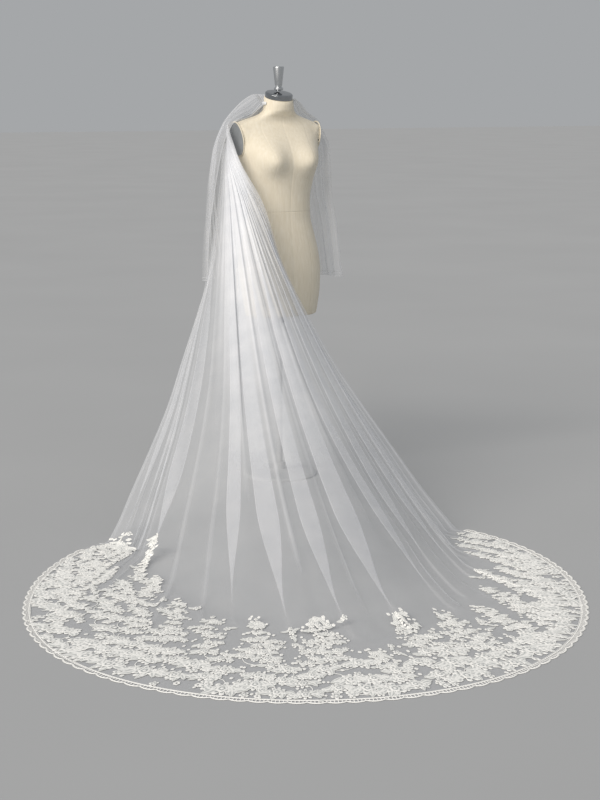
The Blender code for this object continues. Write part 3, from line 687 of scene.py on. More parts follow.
def train_row(kind, row, share):
    """A row of the plain cloth: at the header, over the shoulder, down its fall or on the floor."""
    if kind == "top":
        turn = np.radians(mixed(*TRAIN_TOP_SWEEP, share))
        radius, height = TRAIN_TOP
        return np.stack((radius * np.sin(turn), radius * np.cos(turn), np.full_like(share, height)), axis=-1)
    if kind == "over":
        left_end, right_end = np.array(row[:3]), np.array(row[3:6])
        chord = right_end - left_end
        out = unit(np.array((chord[1], -chord[0], 0.0)))
        out = out if out[1] > 0 else -out
        bulge = row[6] * 4 * share * (1 - share)
        return mixed(left_end, right_end, share[..., None]) + out * bulge[..., None]
    if kind == "fall":
        height, left_way, middle_way, right_way = row
        from_left = mixed(left_way, middle_way, eased(share / EDGE_BLEND))
        from_right = mixed(right_way, middle_way, eased((1 - share) / EDGE_BLEND))
        way = np.where(share < 0.5, from_left, from_right)
        shoulder = mixed(SHOULDER_ENDS[0], SHOULDER_ENDS[1], share[..., None])
        return placed(mixed(shoulder, landing_plan(share), way[..., None]), height + CLOTH_MIDDLE)
    return placed(mixed(hem_plan(share), landing_plan(share), row), CLOTH_MIDDLE)


FAN_STEPS = 480
FALL_ROWS = 120
FLOOR_ROWS = 30
GATHERED_FROM = 1.0  # height from which the folds lie open as gathers
fan = np.linspace(0, 1, FAN_STEPS + 1)
# Rows of the cloth: kind, its numbers, height, and 1 where its folds lie open.
levels = [("top", None, SHOULDER_HEIGHT, 1.0)] + [("over", row, SHOULDER_HEIGHT, 1.0) for row in TRAIN_OVER]
levels += [("fall", row, row[0], 1.0 if row[0] > GATHERED_FROM else 0.0) for row in TRAIN_FALL]
levels += [("laid", LAID_FLAT, 0.0, 1.0), ("laid", 0.45, 0.0, 1.0), ("laid", 0.0, 0.0, 1.0)]
control = np.array([train_row(kind, row, fan) for kind, row, _, _ in levels])
knots = np.concatenate(([0.0], np.cumsum(np.linalg.norm(np.diff(control, axis=0), axis=2).mean(axis=1))))
laid_start = knots[-3]
on_floor = np.linspace(laid_start, knots[-1], FLOOR_ROWS + 1)[1:]
places = np.concatenate((np.linspace(0, laid_start, FALL_ROWS), on_floor))
ground = smooth_through(knots, control, places)  # the cloth without its folds, rows by share across
ground_out = normals_of(ground)
ground_out *= np.sign(ground_out[-1, FAN_STEPS // 2, 2])
height_at = smooth_through(knots, [level[2] for level in levels], places)
open_at = smooth_through(knots, [level[3] for level in levels], places)

FOLDS = (
    # share across at the shoulder, at the floor, width, height of its tip
    (0.070, 0.066, 0.034, 0.10),
    (0.150, 0.135, 0.036, 0.12),
    (0.215, 0.200, 0.024, 0.10),
    (0.320, 0.285, 0.044, 0.04),
    (0.438, 0.424, 0.020, 0.01),
    (0.470, 0.476, 0.028, 0.00),
    (0.525, 0.528, 0.024, 0.00),
    (0.575, 0.581, 0.032, 0.00),
    (0.612, 0.645, 0.020, 0.00),
    (0.665, 0.678, 0.028, 0.04),
    (0.715, 0.735, 0.034, 0.00),
    (0.800, 0.810, 0.034, 0.05),
    (0.895, 0.890, 0.028, 0.09),
)
FOLD_LAYER = 0.003  # from layer to layer of a fold
FOLD_GATHER = 0.0006  # the same up in the gathers
FOLD_OPENING = 0.22  # height over which a fold opens from its tip up
FOLD_CLOSING = (0.70, 0.90)  # heights between which it passes into the gathers
FAN_BEND = 0.6  # height up to which folds and creases shift from their place on the floor
WINDOW_STEP = 0.0024
FOLD_END = (1.35, 1.32)  # the outermost points of a fold, folded and open, in half widths
FOLD_TURN = (0.94, 0.80)  # the points where its outer layers run into a bend
# One fold across, from side to side through its three layers: place folded, place open, layers up.
FOLD_PATH = np.concatenate(
    (
        np.linspace((-FOLD_END[0], -FOLD_END[1], 0.0), (FOLD_TURN[0], -FOLD_TURN[1], 0.14), 6),
        ((1.00, -0.70, 0.20), (1.03, -0.56, 0.42), (1.00, -0.40, 0.64)),
        np.linspace((0.92, -0.28, 0.72), (-0.92, 0.28, 1.28), 6),
        ((-1.00, 0.40, 1.36), (-1.03, 0.56, 1.58), (-1.00, 0.70, 1.80)),
        np.linspace((-FOLD_TURN[0], FOLD_TURN[1], 1.86), (FOLD_END[0], FOLD_END[1], 2.0), 6),
    )
)
BENDS = (np.abs(FOLD_PATH[:, 0]) > 0.99) & (np.abs(FOLD_PATH[:, 0]) < 1.1)
BEND_LAYERS = 0.9  # how many layers the pressed edge of a fold adds


def fold_columns(fold):
    """A fold's columns: their share across, their lift off the cloth and the layers that its edges add."""
    high, low, width, tip = fold
    middle = mixed(low, high, eased(height_at / FAN_BEND))[:, None]
    closing = np.interp(height_at, FOLD_CLOSING, (1.0, 0.0))
    folded = np.minimum(eased((height_at - tip) / FOLD_OPENING), closing)[:, None]
    turned = FOLD_PATH[None, :, 0] * folded
    # The points beyond a bend spread evenly from the fold's edge to the plain cloth beside it.
    laid_open = FOLD_PATH[None, :, 1]
    way = np.sign(laid_open)
    run = np.clip((np.abs(laid_open) - FOLD_TURN[1]) / (FOLD_END[1] - FOLD_TURN[1]), 0, 1)
    flatter = np.where(run > 0, mixed(-way * FOLD_TURN[0] * folded, way * FOLD_END[0], run), turned)
    across = mixed(flatter, laid_open, open_at[:, None])
    step = mixed(FOLD_LAYER, FOLD_GATHER, eased((height_at - 0.8) / 0.5))
    step = step * np.where(height_at <= CLOTH_MIDDLE, 1 - open_at, 1.0)
    lift = FOLD_PATH[None, :, 2] * step[:, None]
    return middle + across * width / 2, lift, BEND_LAYERS * BENDS[None, :] * folded


shares = []
lifts = []
edges = []
edge_share = np.zeros((len(places), 1))
edge_lift = np.zeros((len(places), 1))
for fold in FOLDS + (None,):
    if fold:
        fold_share, fold_lift, fold_edges = fold_columns(fold)
        end = fold_share[:, :1]
        width = fold[0] - fold[2] * FOLD_END[0] / 2 - edge_share[0, 0]
    else:
        end = np.ones((len(places), 1))
        width = 1.0 - edge_share[0, 0]
    count = max(3, round(width / WINDOW_STEP))
    inner = np.linspace(0, 1, count + 1)[None, :]
    inner = inner[:, 0 if not shares else 1 : count if fold else count + 1]
    shares.append(mixed(edge_share, end, inner))
    lifts.append(edge_lift * (1 - eased(inner)))
    edges.append(np.zeros_like(lifts[-1]))
    if fold:
        shares.append(fold_share)
        lifts.append(fold_lift)
        edges.append(fold_edges)
        edge_share = fold_share[:, -1:]
        edge_lift = fold_lift[:, -1:]
shares = np.clip(np.concatenate(shares, axis=1), 0, 1)
lifts = np.concatenate(lifts, axis=1)
edges = np.concatenate(edges, axis=1)


def on_ground(grid, rows, share):
    """Values of a grid, rows by share across, at other shares in the same rows."""
    at = np.clip(share, 0, 1) * FAN_STEPS
    first = np.clip(at.astype(int), 0, FAN_STEPS - 1)
    part = at - first
    rows = np.broadcast_to(rows, share.shape)
    low, high = grid[rows, first], grid[rows, first + 1]
    return mixed(low, high, part[..., None] if grid.ndim == 3 else part)


# Soft creases that run down the fan: share across at the shoulder and floor, width in shares, height in
# metres, how many layers they press together, and the heights between which they show.
CREASES = (
    (0.012, 0.010, 0.0030, 0.004, 0.9, 1.00, 0.00),
    (0.030, 0.022, 0.0036, 0.005, 0.7, 0.90, 0.05),
    (0.046, 0.040, 0.0024, 0.003, 0.6, 0.90, 0.25),
    (0.100, 0.088, 0.0028, 0.004, 0.7, 0.90, 0.10),
    (0.192, 0.178, 0.0026, 0.004, 0.7, 1.00, 0.05),
    (0.240, 0.222, 0.0040, 0.005, 0.5, 1.20, 0.02),
    (0.284, 0.254, 0.0050, 0.006, 0.4, 1.00, 0.00),
    (0.372, 0.345, 0.0034, 0.004, 0.7, 1.00, 0.00),
    (0.410, 0.392, 0.0030, 0.004, 0.6, 1.10, 0.03),
    (0.452, 0.448, 0.0018, 0.002, 0.9, 1.20, 0.30),
    (0.498, 0.502, 0.0026, 0.004, 1.3, 1.20, 0.18),
    (0.549, 0.553, 0.0020, 0.003, 0.8, 1.20, 0.10),
    (0.595, 0.608, 0.0022, 0.003, 0.8, 1.20, 0.04),
    (0.640, 0.660, 0.0022, 0.003, 0.9, 1.20, 0.12),
    (0.690, 0.704, 0.0024, 0.003, 0.9, 1.20, 0.05),
    (0.745, 0.765, 0.0030, 0.004, 1.1, 1.20, 0.00),
    (0.766, 0.785, 0.0020, 0.003, 0.9, 1.20, 0.15),
    (0.830, 0.838, 0.0028, 0.004, 1.2, 1.20, 0.02),
    (0.852, 0.860, 0.0020, 0.003, 1.0, 1.20, 0.10),
    (0.872, 0.874, 0.0024, 0.004, 1.0, 1.10, 0.00),
    (0.926, 0.922, 0.0026, 0.004, 1.3, 1.20, 0.03),
    (0.948, 0.944, 0.0030, 0.004, 1.2, 1.10, 0.00),
    (0.972, 0.970, 0.0024, 0.003, 1.4, 1.20, 0.00),
    (0.990, 0.990, 0.0030, 0.003, 1.6, 1.20, 0.00),
)
row_height = height_at[:, None]
floor_way = np.clip((np.array(places) - laid_start) / (knots[-1] - laid_start), 0, 1)[:, None]
ridge = np.zeros_like(shares)
pressed = np.zeros_like(shares)
for number, (high, low, width, rise, layers, top, bottom) in enumerate(CREASES):
    wander = 0.0022 * np.sin(2.6 * row_height + 1.7 * number) * eased(row_height / 0.3)
    middle = mixed(low, high, eased(row_height / FAN_BEND)) + wander
    off = (shares - middle) / (width * (1 + 0.6 * eased(row_height - 0.2)))
    shape = np.exp(-off * off)
    shown = eased((row_height - bottom + 0.12) / 0.12) * eased((top + 0.2 - row_height) / 0.3)
    shown = shown * (1 - eased(floor_way / (0.85 if bottom == 0 else 0.35)))
    ridge += rise * shape * shown
    pressed += layers * shape * shown
# The gathers: three sets of uneven fine pleats, weaker towards the floor and over the shoulder.
gather = np.interp(row_height, (0.0, 0.25, 0.55, 0.9, 1.1, 1.3), (0.0, 0.25, 0.6, 1.0, 1.0, 0.85))
wave_a = np.sin(shares * math.tau * 23 + 1.8 * np.sin(shares * 31 + 1.0) + 0.8 * np.sin(3.1 * row_height))
wave_b = np.sin(shares * math.tau * 41 + 2.2 * np.sin(shares * 17 + 2.0) + 1.1 * np.sin(2.3 * row_height + 1))
wave_c = np.sin(shares * math.tau * 79 + 1.5 * np.sin(shares * 53) + 1.4 * np.sin(4.2 * row_height + 2))
ridge += gather * (0.0009 * wave_a + 0.0003 * wave_b)
over = np.clip((knots[3] - np.array(places)) / knots[3], 0, 1)[:, None]
ridge *= 1 - 0.6 * over
rows = np.arange(len(places))[:, None]
raised = on_ground(ground_out, rows, shares) * (lifts + ridge)[..., None]
train_points = on_ground(ground, rows, shares) + raised
train_points[..., 2] = np.maximum(train_points[..., 2], CLOTH_MIDDLE)

CROWDED_SHARES = (0.0, 0.15, 0.30, 0.38, 0.44, 0.52, 0.60, 0.70, 0.80, 0.90, 1.0)
CROWDED_LAYERS = (
    # height, and at each of those shares how many layers the gathers add
    (0.00, (0.0, 0.0, 0.0, 0.0, 0.0, 0.0, 0.0, 0.0, 0.0, 0.0, 0.0)),
    (0.30, (0.1, 0.0, 0.0, 0.1, 0.2, 0.2, 0.1, 0.1, 0.1, 0.1, 0.1)),
    (0.50, (0.0, 0.0, 0.0, 0.1, 1.0, 1.0, 0.7, 0.5, 0.4, 0.2, 0.1)),
    (0.70, (-0.2, -0.2, -0.1, 0.5, 4.0, 4.0, 2.2, 1.2, 0.7, 0.4, 0.2)),
    (0.90, (-0.4, -0.4, -0.3, 1.0, 7.0, 8.5, 4.4, 2.2, 1.0, 0.4, 0.0)),
    (1.10, (-0.5, -0.5, -0.2, 1.5, 9.0, 12.0, 8.0, 4.0, 1.8, 0.7, 0.0)),
    (1.30, (0.0, 0.0, 0.8, 2.5, 7.0, 11.0, 11.0, 10.0, 8.0, 5.0, 1.5)),
)
by_height = np.stack([np.interp(shares, CROWDED_SHARES, layers) for _, layers in CROWDED_LAYERS])
at_level = np.interp(height_at, [level for level, _ in CROWDED_LAYERS], range(len(CROWDED_LAYERS)))
low_level = np.minimum(at_level.astype(int), len(CROWDED_LAYERS) - 2)
rows_of = np.arange(len(places))
between = (at_level - low_level)[:, None]
crowded = mixed(by_height[low_level, rows_of], by_height[low_level + 1, rows_of], between)
crowded = crowded * mixed(1.0, 0.28, eased(3 * over))
streaks = 0.88 + 0.12 * wave_a + 0.09 * wave_b + 0.06 * wave_c
train_layers = 1.0 + crowded * np.clip(streaks, 0.12, 1.5) + pressed + edges
train_layers += np.exp(-((np.minimum(shares, 1 - shares) / 0.003) ** 2))  # its cut edges
faces = grid_faces(len(places), shares.shape[1])
train = cloth_object("long_tier_tulle", train_points.reshape(-1, 3), faces, tulle, {"layers": train_layers})
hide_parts("long_tier")


# Lace -----------------------------------------------------------------------------------------------------
# Corded lace sewn on the hem: sprays of small five-petalled flowers, leaves and buds on curling stems, and
# a scalloped braid with a row of eyelets along the very edge. All of it is cotton and rayon thread.

# Cotton and rayon embroidery thread: soft white, a little warmer than the net, its cords brighter than the
# fill between them. The stitches are 0.5 mm apart and drawn at 2.5 mm.
lace_thread, tree, shader = new_finish("corded_lace_thread")
cord = add_node(tree, "Attribute", {}, "Fac", attribute_name="cord")
stitch = grain_of(tree, 400.0, 2.0)
worked = add_node(tree, "Math", {0: stitch, 1: 0.35, 2: cord}, operation="MULTIPLY_ADD")
lace_tones = ((0.40, "#9BA0A2"), (0.78, "#E2E4E1"), (1.00, "#FFFFFC"))
dress(tree, shader, worked, lace_tones, 0.72, {"Sheen Weight": 0.3}, (0.35, 0.0006, stitch))

chance = random.Random(11)
train_tree = BVHTree.FromPolygons([tuple(p) for p in train_points.reshape(-1, 3)], faces)
# The cloth's place at each share across and distance in from the hem.
REACH_STEP = 0.01
REACH_STEPS = 110
from_hem = np.cumsum(np.linalg.norm(np.diff(ground[::-1], axis=0), axis=2), axis=0)
from_hem = np.concatenate((np.zeros((1, FAN_STEPS + 1)), from_hem))
reaches = np.arange(REACH_STEPS + 1) * REACH_STEP
reach_points = np.empty((REACH_STEPS + 1, FAN_STEPS + 1, 3))
for column in range(FAN_STEPS + 1):
    for axis in range(3):
        reach_points[:, column, axis] = np.interp(reaches, from_hem[:, column], ground[::-1, column, axis])


def cloth_at(share, reach):
    at_share = min(max(share, 0), 0.9999) * FAN_STEPS
    at_reach = min(max(reach / REACH_STEP, 0), REACH_STEPS - 0.001)
    i, j = int(at_share), int(at_reach)
    a, b = at_share - i, at_reach - j
    low = mixed(reach_points[j, i], reach_points[j, i + 1], a)
    high = mixed(reach_points[j + 1, i], reach_points[j + 1, i + 1], a)
    return mixed(low, high, b)


def cloth_frame(share, reach):
    """A point of the cloth with its directions along the hem, in from the hem and out of the cloth."""
    step = 0.004
    point = cloth_at(share, reach)
    along = cloth_at(share + step, reach) - cloth_at(share - step, reach)
    width = np.linalg.norm(along) / (2 * step)
    inward = cloth_at(share, reach + 0.02) - point
    along = unit(along)
    out = unit(np.cross(inward, along))
    if out[2] < 0:
        out = -out
    return point, along, unit(np.cross(along, out)), out, width


LACE_LIFT = 0.0012
CLOTH_SEARCH = 0.05  # how far off the cloth's plain form a fold is looked for


def turned_over(faces):
    """The same faces, to be seen from their other side."""
    return [(face[0], *face[:0:-1]) for face in faces]


class LacePiece:
    """The points and faces of one piece of lace, laid on the cloth motif by motif."""

    def __init__(self):
        self.points = []
        self.faces = []
        self.cords = []

    def add(self, points, cords, faces):
        first = len(self.points)
        self.points += points
        self.cords += cords
        self.faces += [tuple(first + i for i in face) for face in faces]

    def lay(self, at, turn, shape):
        """Sew on a motif, whose points are (across, along, rise, cord), turned in the plane of the cloth."""
        point, along, inward, out, _ = at
        cosine, sine = math.cos(turn), math.sin(turn)
        points, faces = shape
        laid = []
        for x, y, rise, _ in points:
            spot = point + along * (x * cosine - y * sine) + inward * (x * sine + y * cosine)
            hit = train_tree.ray_cast(Vector(spot + out * CLOTH_SEARCH), Vector(-out), 2 * CLOTH_SEARCH)[0]
            if hit is None:
                return  # no cloth there to sew it on
            laid.append(np.array(hit) + out * (LACE_LIFT + rise))
        self.add(laid, [cord for _, _, _, cord in points], faces)

    def piece(self, name, node):
        made = cloth_object(name, self.points, self.faces, lace_thread, {"cord": self.cords})
        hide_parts(node)
        return made


def ring_shape(outline, rings, centre):
    """A domed motif from rings of its outline: each ring's share of the outline, rise and cord."""
    points = [(0.0, 0.0, centre[0], centre[1])]
    count = len(outline)
    for grown, rise, cord in rings:
        points += [(x * grown, y * grown, rise, cord) for x, y in outline]
    faces = [(0, 1 + i, 1 + (i + 1) % count) for i in range(count)]
    between = turned_over(grid_faces(len(rings), count, closed=True))
    return points, faces + [tuple(1 + i for i in face) for face in between]


# Rings of a motif out from its middle: share of its outline, rise and cord.
RIM = (1.0, 0.0003, 0.8)
BLOOM_RINGS = ((0.20, 0.0016, 1.0), (0.30, 0.0006, 0.1), (0.62, 0.0009, 0.30), (0.84, 0.0015, 1.0), RIM)
FLOWER_RINGS = ((0.22, 0.0012, 1.0), (0.40, 0.0006, 0.15), (0.80, 0.0014, 1.0), RIM)
BUD_RINGS = ((0.30, 0.0004, 0.7), (0.62, 0.0014, 1.0), RIM)
# Across a leaf: place in half breadths, rise and cord.
LEAF_RIBS = (
    (-1, 0.0003, 0.9),
    (-0.45, 0.0010, 0.35),
    (0, 0.0014, 0.9),
    (0.45, 0.0010, 0.35),
    (1, 0.0003, 0.9),
)


def flower(radius, petals, per_petal, rings, raised=0.0, open_middle=False):
    """Petals round a knot, or round an eyelet where the middle is open."""
    outline = []
    count = petals * per_petal
    for i in range(count):
        turn = math.tau * i / count
        lobe = abs(math.cos(petals * turn / 2)) ** 0.6
        reach = radius * (0.50 + 0.50 * lobe)
        outline.append((reach * math.cos(turn), reach * math.sin(turn)))
    rings = [(grown, rise + raised, cord) for grown, rise, cord in rings]
    points, faces = ring_shape(outline, rings, (0.0017 + raised, 1.0))
    if open_middle:
        faces = [tuple(i - 1 for i in face) for face in faces if 0 not in face]
        points = points[1:]
    return points, faces


def small_flower(radius):
    return flower(radius, 5, 4, FLOWER_RINGS)


def leaf(length, breadth):
    points = []
    steps = 5
    for i in range(steps + 1):
        part = i / steps
        wide = breadth * math.sin(math.pi * min(part * 0.93 + 0.05, 1.0)) ** 0.8 / 2
        bow = 0.12 * length * math.sin(math.pi * part)
        points += [(bow + side * wide, length * part, rise, cord) for side, rise, cord in LEAF_RIBS]
    return points, grid_faces(steps + 1, len(LEAF_RIBS))


def stem(line, bow, wide=0.0014):
    """A cord that leads off along a line of (across, along), bowed to one side."""
    steps = 6
    line = np.array(line)
    length = math.hypot(*line)
    aside = np.array((-line[1], line[0])) / max(length, 1e-6)
    points = []
    for i in range(steps + 1):
        part = i / steps
        middle = line * part + aside * bow * length * math.sin(math.pi * part)
        for side, rise, cord in ((-1, 0.0002, 0.7), (0, 0.0012, 1.0), (1, 0.0002, 0.7)):
            points.append((*(middle + aside * side * wide), rise, cord))
    return points, grid_faces(steps + 1, 3)


# Sprays: share along the hem, how far in they reach and their half width at the foot.
SPRAYS = (
    (0.036, 0.20, 0.060),
    (0.068, 0.34, 0.055),
    (0.106, 0.46, 0.060),
    (0.140, 0.40, 0.050),
    (0.175, 0.68, 0.075),
    (0.222, 0.60, 0.065),
    (0.252, 0.44, 0.050),
    (0.284, 1.02, 0.080),
    (0.322, 0.82, 0.075),
    (0.366, 0.69, 0.078),
    (0.404, 0.60, 0.062),
    (0.448, 0.60, 0.102),
    (0.502, 0.60, 0.105),
    (0.536, 0.34, 0.050),
    (0.580, 0.57, 0.100),
    (0.624, 0.50, 0.072),
    (0.670, 0.42, 0.072),
    (0.716, 0.46, 0.072),
    (0.764, 0.48, 0.075),
    (0.806, 0.36, 0.060),
    (0.846, 0.38, 0.070),
    (0.887, 0.35, 0.065),
    (0.924, 0.24, 0.060),
    (0.958, 0.14, 0.050),
)
SPRAY_NODES = tuple(0.062 + 0.0735 * number for number in range(13))
CLUMP_SIZES = (0.058, 0.027)  # radius at the foot of a spray and at its tip
CLUMP_GAP = 0.60  # how close clumps lie, in sums of their radii
TRIES = 3600  # places tried for each square metre of a spray
EDGING_INSET = 0.017
LEAF_SIZE = (0.60, 0.40)  # length and breadth, in radii of the clump
# How wide a spray is at shares of its reach, in half widths at its foot.
SPRAY_OUTLINE = ((0.0, 0.2, 0.45, 0.55, 0.8, 1.0), (1.10, 0.95, 0.72, 0.55, 0.34, 0.08))
LACE_ENDS = (0.018, 0.985)  # shares along the hem between which motifs are centred
BLOOM_CLUMP = 0.034  # clumps larger than this have a bloom of two tiers
BORDER_STEP = 0.036  # from flower to flower of the low border along the hem
MOTIF_STRETCH = 1.5  # motifs are longer in from the hem than along it
NARROWEST = 0.3
SPOT_CELL = 0.06
taken = {}  # places and radii of the clumps so far, by cell of a grid on the floor plan


def spot_cells(point, spread):
    low = [math.floor((point[axis] - spread) / SPOT_CELL) for axis in (0, 1)]
    high = [math.floor((point[axis] + spread) / SPOT_CELL) for axis in (0, 1)]
    return [(i, j) for i in range(low[0], high[0] + 1) for j in range(low[1], high[1] + 1)]


def free_spot(point, radius, gap):
    near = [spot for cell in spot_cells(point, SPOT_CELL) for spot in taken.get(cell, ())]
    return all(math.dist(other, point) >= (radius + size) * gap for other, size in near)


def take_spot(point, radius):
    taken.setdefault(spot_cells(point, 0.0)[0], []).append((point, radius))


def share_of(aside, share, inward):
    """Metres along the hem as a share of the cloth's width at a place, where it isn't very narrow."""
    return aside / max(cloth_frame(share, inward)[4], NARROWEST)


def fanned(lean, out):
    """Metres aside and ahead for a place a distance out from a clump's middle."""
    return -out * math.sin(lean), out * math.cos(lean)


def sew_near(spray, share, inward, turn, shape, aside=0.0, ahead=0.0):
    """Sew on a motif at metres along the hem and in from it, counted from a place on the cloth."""
    across = share + share_of(aside, share, inward)
    towards_hem = min(x * math.sin(turn) + y * math.cos(turn) for x, y, _, _ in shape[0])
    inward = max(inward + ahead * MOTIF_STRETCH, EDGING_INSET - towards_hem * MOTIF_STRETCH)
    if 0.010 < across < 0.992:
        point, along, inwards, out, width = cloth_frame(across, inward)
        spray.lay((point, along, inwards * MOTIF_STRETCH, out, width), turn, shape)


def sew_clump(spray, share, inward, size):
    """A bloom with leaves fanned round it and small flowers and buds between their tips."""
    petals = chance.choice((6, 7, 8))
    turn = chance.uniform(0, 6.28)
    if size > BLOOM_CLUMP:
        sew_near(spray, share, inward, turn, flower(0.50 * size, petals, 4, BLOOM_RINGS))
        turn = chance.uniform(0, 6.28)
        sew_near(spray, share, inward, turn, flower(0.27 * size, 5, 3, FLOWER_RINGS, raised=0.0012))
    else:
        sew_near(spray, share, inward, turn, small_flower(0.46 * size))
    # The leaves fan out towards the spray's tip, the middle ones longest, and a few point back to the hem.
    count = round(5 + size / 0.011)
    for number in range(count):
        lean = mixed(-2.1, 2.1, (number + chance.uniform(0.2, 0.8)) / count)
        out = chance.uniform(0.30, 0.45) * size
        drawn = chance.random()
        if drawn < 0.66:
            length = chance.uniform(0.9, 1.2) * LEAF_SIZE[0] * size * (1.55 - 0.35 * abs(lean))
            turn = lean + chance.uniform(-0.25, 0.25)
            sew_near(spray, share, inward, turn, leaf(length, LEAF_SIZE[1] * size), *fanned(lean, out))
        elif drawn < 0.92:
            out = chance.uniform(0.68, 0.85) * size
            shape = small_flower(chance.uniform(0.24, 0.32) * size)
            sew_near(spray, share, inward, 3 * lean, shape, *fanned(lean, out))
        if chance.random() < 0.5:
            out = chance.uniform(1.05, 1.30) * size
            lean += 2.5 / count
            bud = flower(chance.uniform(0.0045, 0.0065), 4, 3, BUD_RINGS)
            sew_near(spray, share, inward, lean, bud, *fanned(lean, out))


def sew_stems(spray, sewn):
    """A cord from each clump to the nearest one further out, as the stem that it grows from."""
    for inward, at in sewn:
        nearer = [(math.dist(other[1][0], at[0]), other) for other in sewn if other[0] < inward - 0.02]
        if nearer:
            gap, other = min(nearer, key=lambda pair: pair[0])
            away = other[1][0] - at[0]
            line = (float(away @ at[1]), float(away @ at[2]))
            if gap < 0.20:
                spray.lay(at, 0.0, stem(line, chance.choice((-0.3, 0.3))))


node_sprays = [LacePiece() for _ in SPRAY_NODES]


def spray_at(share):
    return node_sprays[int(np.argmin([abs(share - place) for place in SPRAY_NODES]))]


for share, reach, half_width in SPRAYS:
    spray = spray_at(share)
    sewn = []
    for _ in range(round(TRIES * half_width * reach)):
        part = chance.random() ** 0.9
        size = mixed(*CLUMP_SIZES, eased(part * 1.1)) * chance.uniform(0.80, 1.15)
        wide = half_width * np.interp(part, *SPRAY_OUTLINE)
        deep = EDGING_INSET + 0.62 * size + part * (reach - EDGING_INSET - 1.6 * size)
        at_share = share + share_of(chance.uniform(-1, 1) * wide, share, deep)
        if not LACE_ENDS[0] < at_share < LACE_ENDS[1]:
            continue
        if not free_spot(cloth_at(at_share, deep), size, CLUMP_GAP):
            continue
        at = cloth_frame(at_share, deep)
        take_spot(at[0], size)
        sew_clump(spray, at_share, deep, size)
        sewn.append((deep, at))
    # The tip: a last flower with a leaf to each side.
    for lean in (-0.7, 0.0, 0.7):
        sew_near(spray, share, reach - 0.022, -lean, leaf(0.030, 0.013), aside=0.010 * lean)
    sew_near(spray, share, reach - 0.024, 0.4, small_flower(0.010))
    # Flowers that stand alone beside the spray.
    for _ in range(round(reach / 0.16)):
        part = chance.uniform(0.35, 1.0)
        deep = part * reach
        aside = chance.choice((-1, 1)) * (half_width * (1.1 - 0.55 * part) + chance.uniform(0.01, 0.03))
        at_share = share + share_of(aside, share, deep)
        if LACE_ENDS[0] < at_share < LACE_ENDS[1] and free_spot(cloth_at(at_share, deep), 0.014, 0.9):
            take_spot(cloth_at(at_share, deep), 0.012)
            sew_near(spray, at_share, deep, part * 9, small_flower(chance.uniform(0.009, 0.013)))
            sew_near(spray, at_share, deep, chance.uniform(0, 6.28), leaf(0.028, 0.011))
    sew_stems(spray, sewn)
# The low border: flowers, leaves and rings close to the hem, where the sprays leave room.
for step in range(2, round(HEM_LENGTH / BORDER_STEP) - 1):
    for row, left_out in enumerate((0.10, 0.45, 0.70)):
        inward = EDGING_INSET + 0.016 + 0.034 * row + chance.uniform(-0.006, 0.006)
        at_share = step * BORDER_STEP / HEM_LENGTH + chance.uniform(-0.003, 0.003)
        if chance.random() < left_out or not 0.014 < at_share < 0.988:
            continue
        if not free_spot(cloth_at(at_share, inward), 0.016, 0.72):
            continue
        take_spot(cloth_at(at_share, inward), 0.016)
        spray = spray_at(at_share)
        kind = chance.random()
        if kind < 0.45:
            sew_near(spray, at_share, inward, kind * 20, small_flower(chance.uniform(0.012, 0.017)))
        elif kind < 0.75:
            for lean in (-0.8, 0.2, 1.1):
                shape = leaf(chance.uniform(0.022, 0.032), 0.012)
                sew_near(spray, at_share, inward, lean, shape, ahead=-0.010)
        else:
            sew_near(spray, at_share, inward, 0.0, flower(0.010, 6, 3, BUD_RINGS, open_middle=True))
for number, spray in enumerate(node_sprays, 1):
    spray.piece(f"lace_spray_flowers_{number:02d}", f"lace_spray_{number:02d}")

# Braid along the hem: an inner rail, an outer rail that runs in scallops, and rungs between them that leave
# a row of eyelets.
SCALLOPS = 80
CELLS = 5  # eyelets in each scallop
EDGING_START = 0.014
BRAID_LIFT = 0.0016
INNER_RAIL = 0.0110  # metres in from the hem
INNER_RAIL_EDGE = 0.0150
RUNG_START = 0.0105
RUNG_HALF = 0.0015
braid = LacePiece()


def braid_cord(shares, insets, rise, inward=0.0, aside=0.0):
    """A cord through places on the hem, its half width counted in from the hem, or along it as a share."""
    points = []
    cords = []
    for share, inset in zip(shares, insets):
        for side, up, cord in ((-1, 0.0, 0.8), (0, rise, 1.0), (1, 0.0, 0.8)):
            points.append(placed(hem_plan(share + side * aside, inset + side * inward), BRAID_LIFT + up))
            cords.append(cord)
    braid.add(points, cords, turned_over(grid_faces(len(shares), 3)))


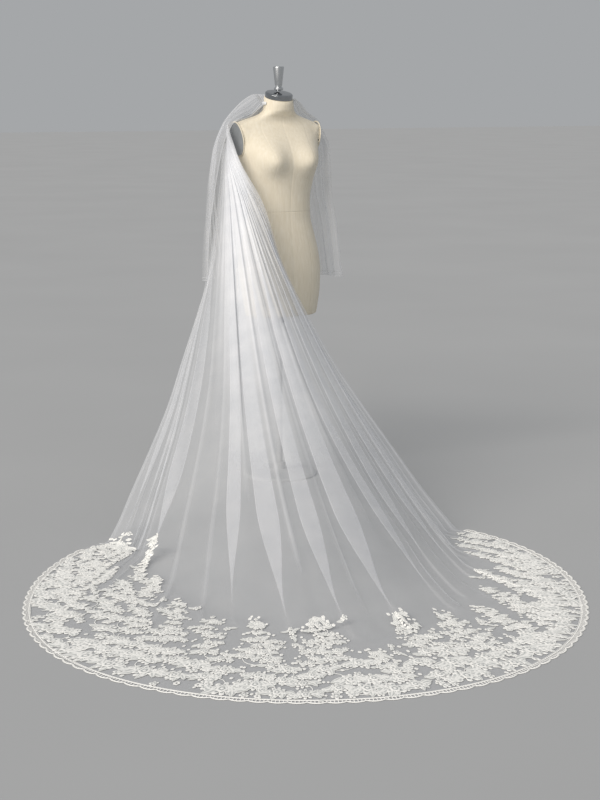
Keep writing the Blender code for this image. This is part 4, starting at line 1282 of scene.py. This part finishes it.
steps = SCALLOPS * CELLS * 2
along = np.linspace(EDGING_START, 1.0, steps + 1)
swing = np.abs(np.sin(np.pi * np.arange(steps + 1) / (CELLS * 2)))
outer = 0.002 - 0.0085 * swing**0.7
braid_cord(along, outer, 0.0014, inward=0.0020)
braid_cord(along, outer - 0.0032, 0.0006, inward=0.0008)
braid_cord(along, np.full(steps + 1, INNER_RAIL), 0.0014, inward=0.0020)
braid_cord(along, np.full(steps + 1, INNER_RAIL_EDGE), 0.0007, inward=0.0008)
for share, end in zip(along[::2], outer[::2]):
    braid_cord([share] * 3, (RUNG_START, 0.5 * (RUNG_START + end), end), 0.0010, aside=RUNG_HALF / HEM_LENGTH)
braid.piece("lace_braid", "lace_edging")


# Floor, light and camera ----------------------------------------------------------------------------------
# A plain pale grey studio: a matt painted floor, one large soft key light from the left, halfway up, and an
# even light from all round.

# Matt painted floor, plain.
floor_tones = ((0.3, "#B1B3B5"), (0.7, "#B4B6B8"))
dull = {"Specular IOR Level": 0.0}
floor_paint = grained_finish("matt_pale_grey_floor", (0.7, 2.0), floor_tones, 0.95, dull)
bpy.ops.object.select_all(action="DESELECT")
bpy.ops.mesh.primitive_plane_add(size=120.0, location=(0, 0, 0))
floor = bpy.context.object
floor.name = "floor"
floor.data.materials.append(floor_paint)

world = bpy.data.worlds.new("studio")
bpy.context.scene.world = world
world.use_nodes = True
sky = world.node_tree.nodes["Background"]
sky.inputs["Color"].default_value = linear("#A5A7A9")
sky.inputs["Strength"].default_value = 1.0

key = bpy.data.lights.new("key", "SUN")
key.energy = 2.8
key.angle = math.radians(45)
key.color = linear("#FFF8F0")[:3]
key_light = into_scene("key", key)
key_light.rotation_euler = Vector((0.92, 0.42, -0.60)).to_track_quat("-Z", "Y").to_euler()

camera = into_scene("camera", bpy.data.cameras.new("camera"))
camera.location = (-2.928, -5.238, 1.5)
camera.rotation_euler = (math.radians(90 - 11.27), 0.0, math.radians(-30))
camera.data.lens = 68.2
camera.data.sensor_width = 36.0
camera.data.clip_end = 100.0
bpy.context.scene.camera = camera
# The plain view transform keeps the white thread white.
bpy.context.scene.view_settings.view_transform = "Standard"
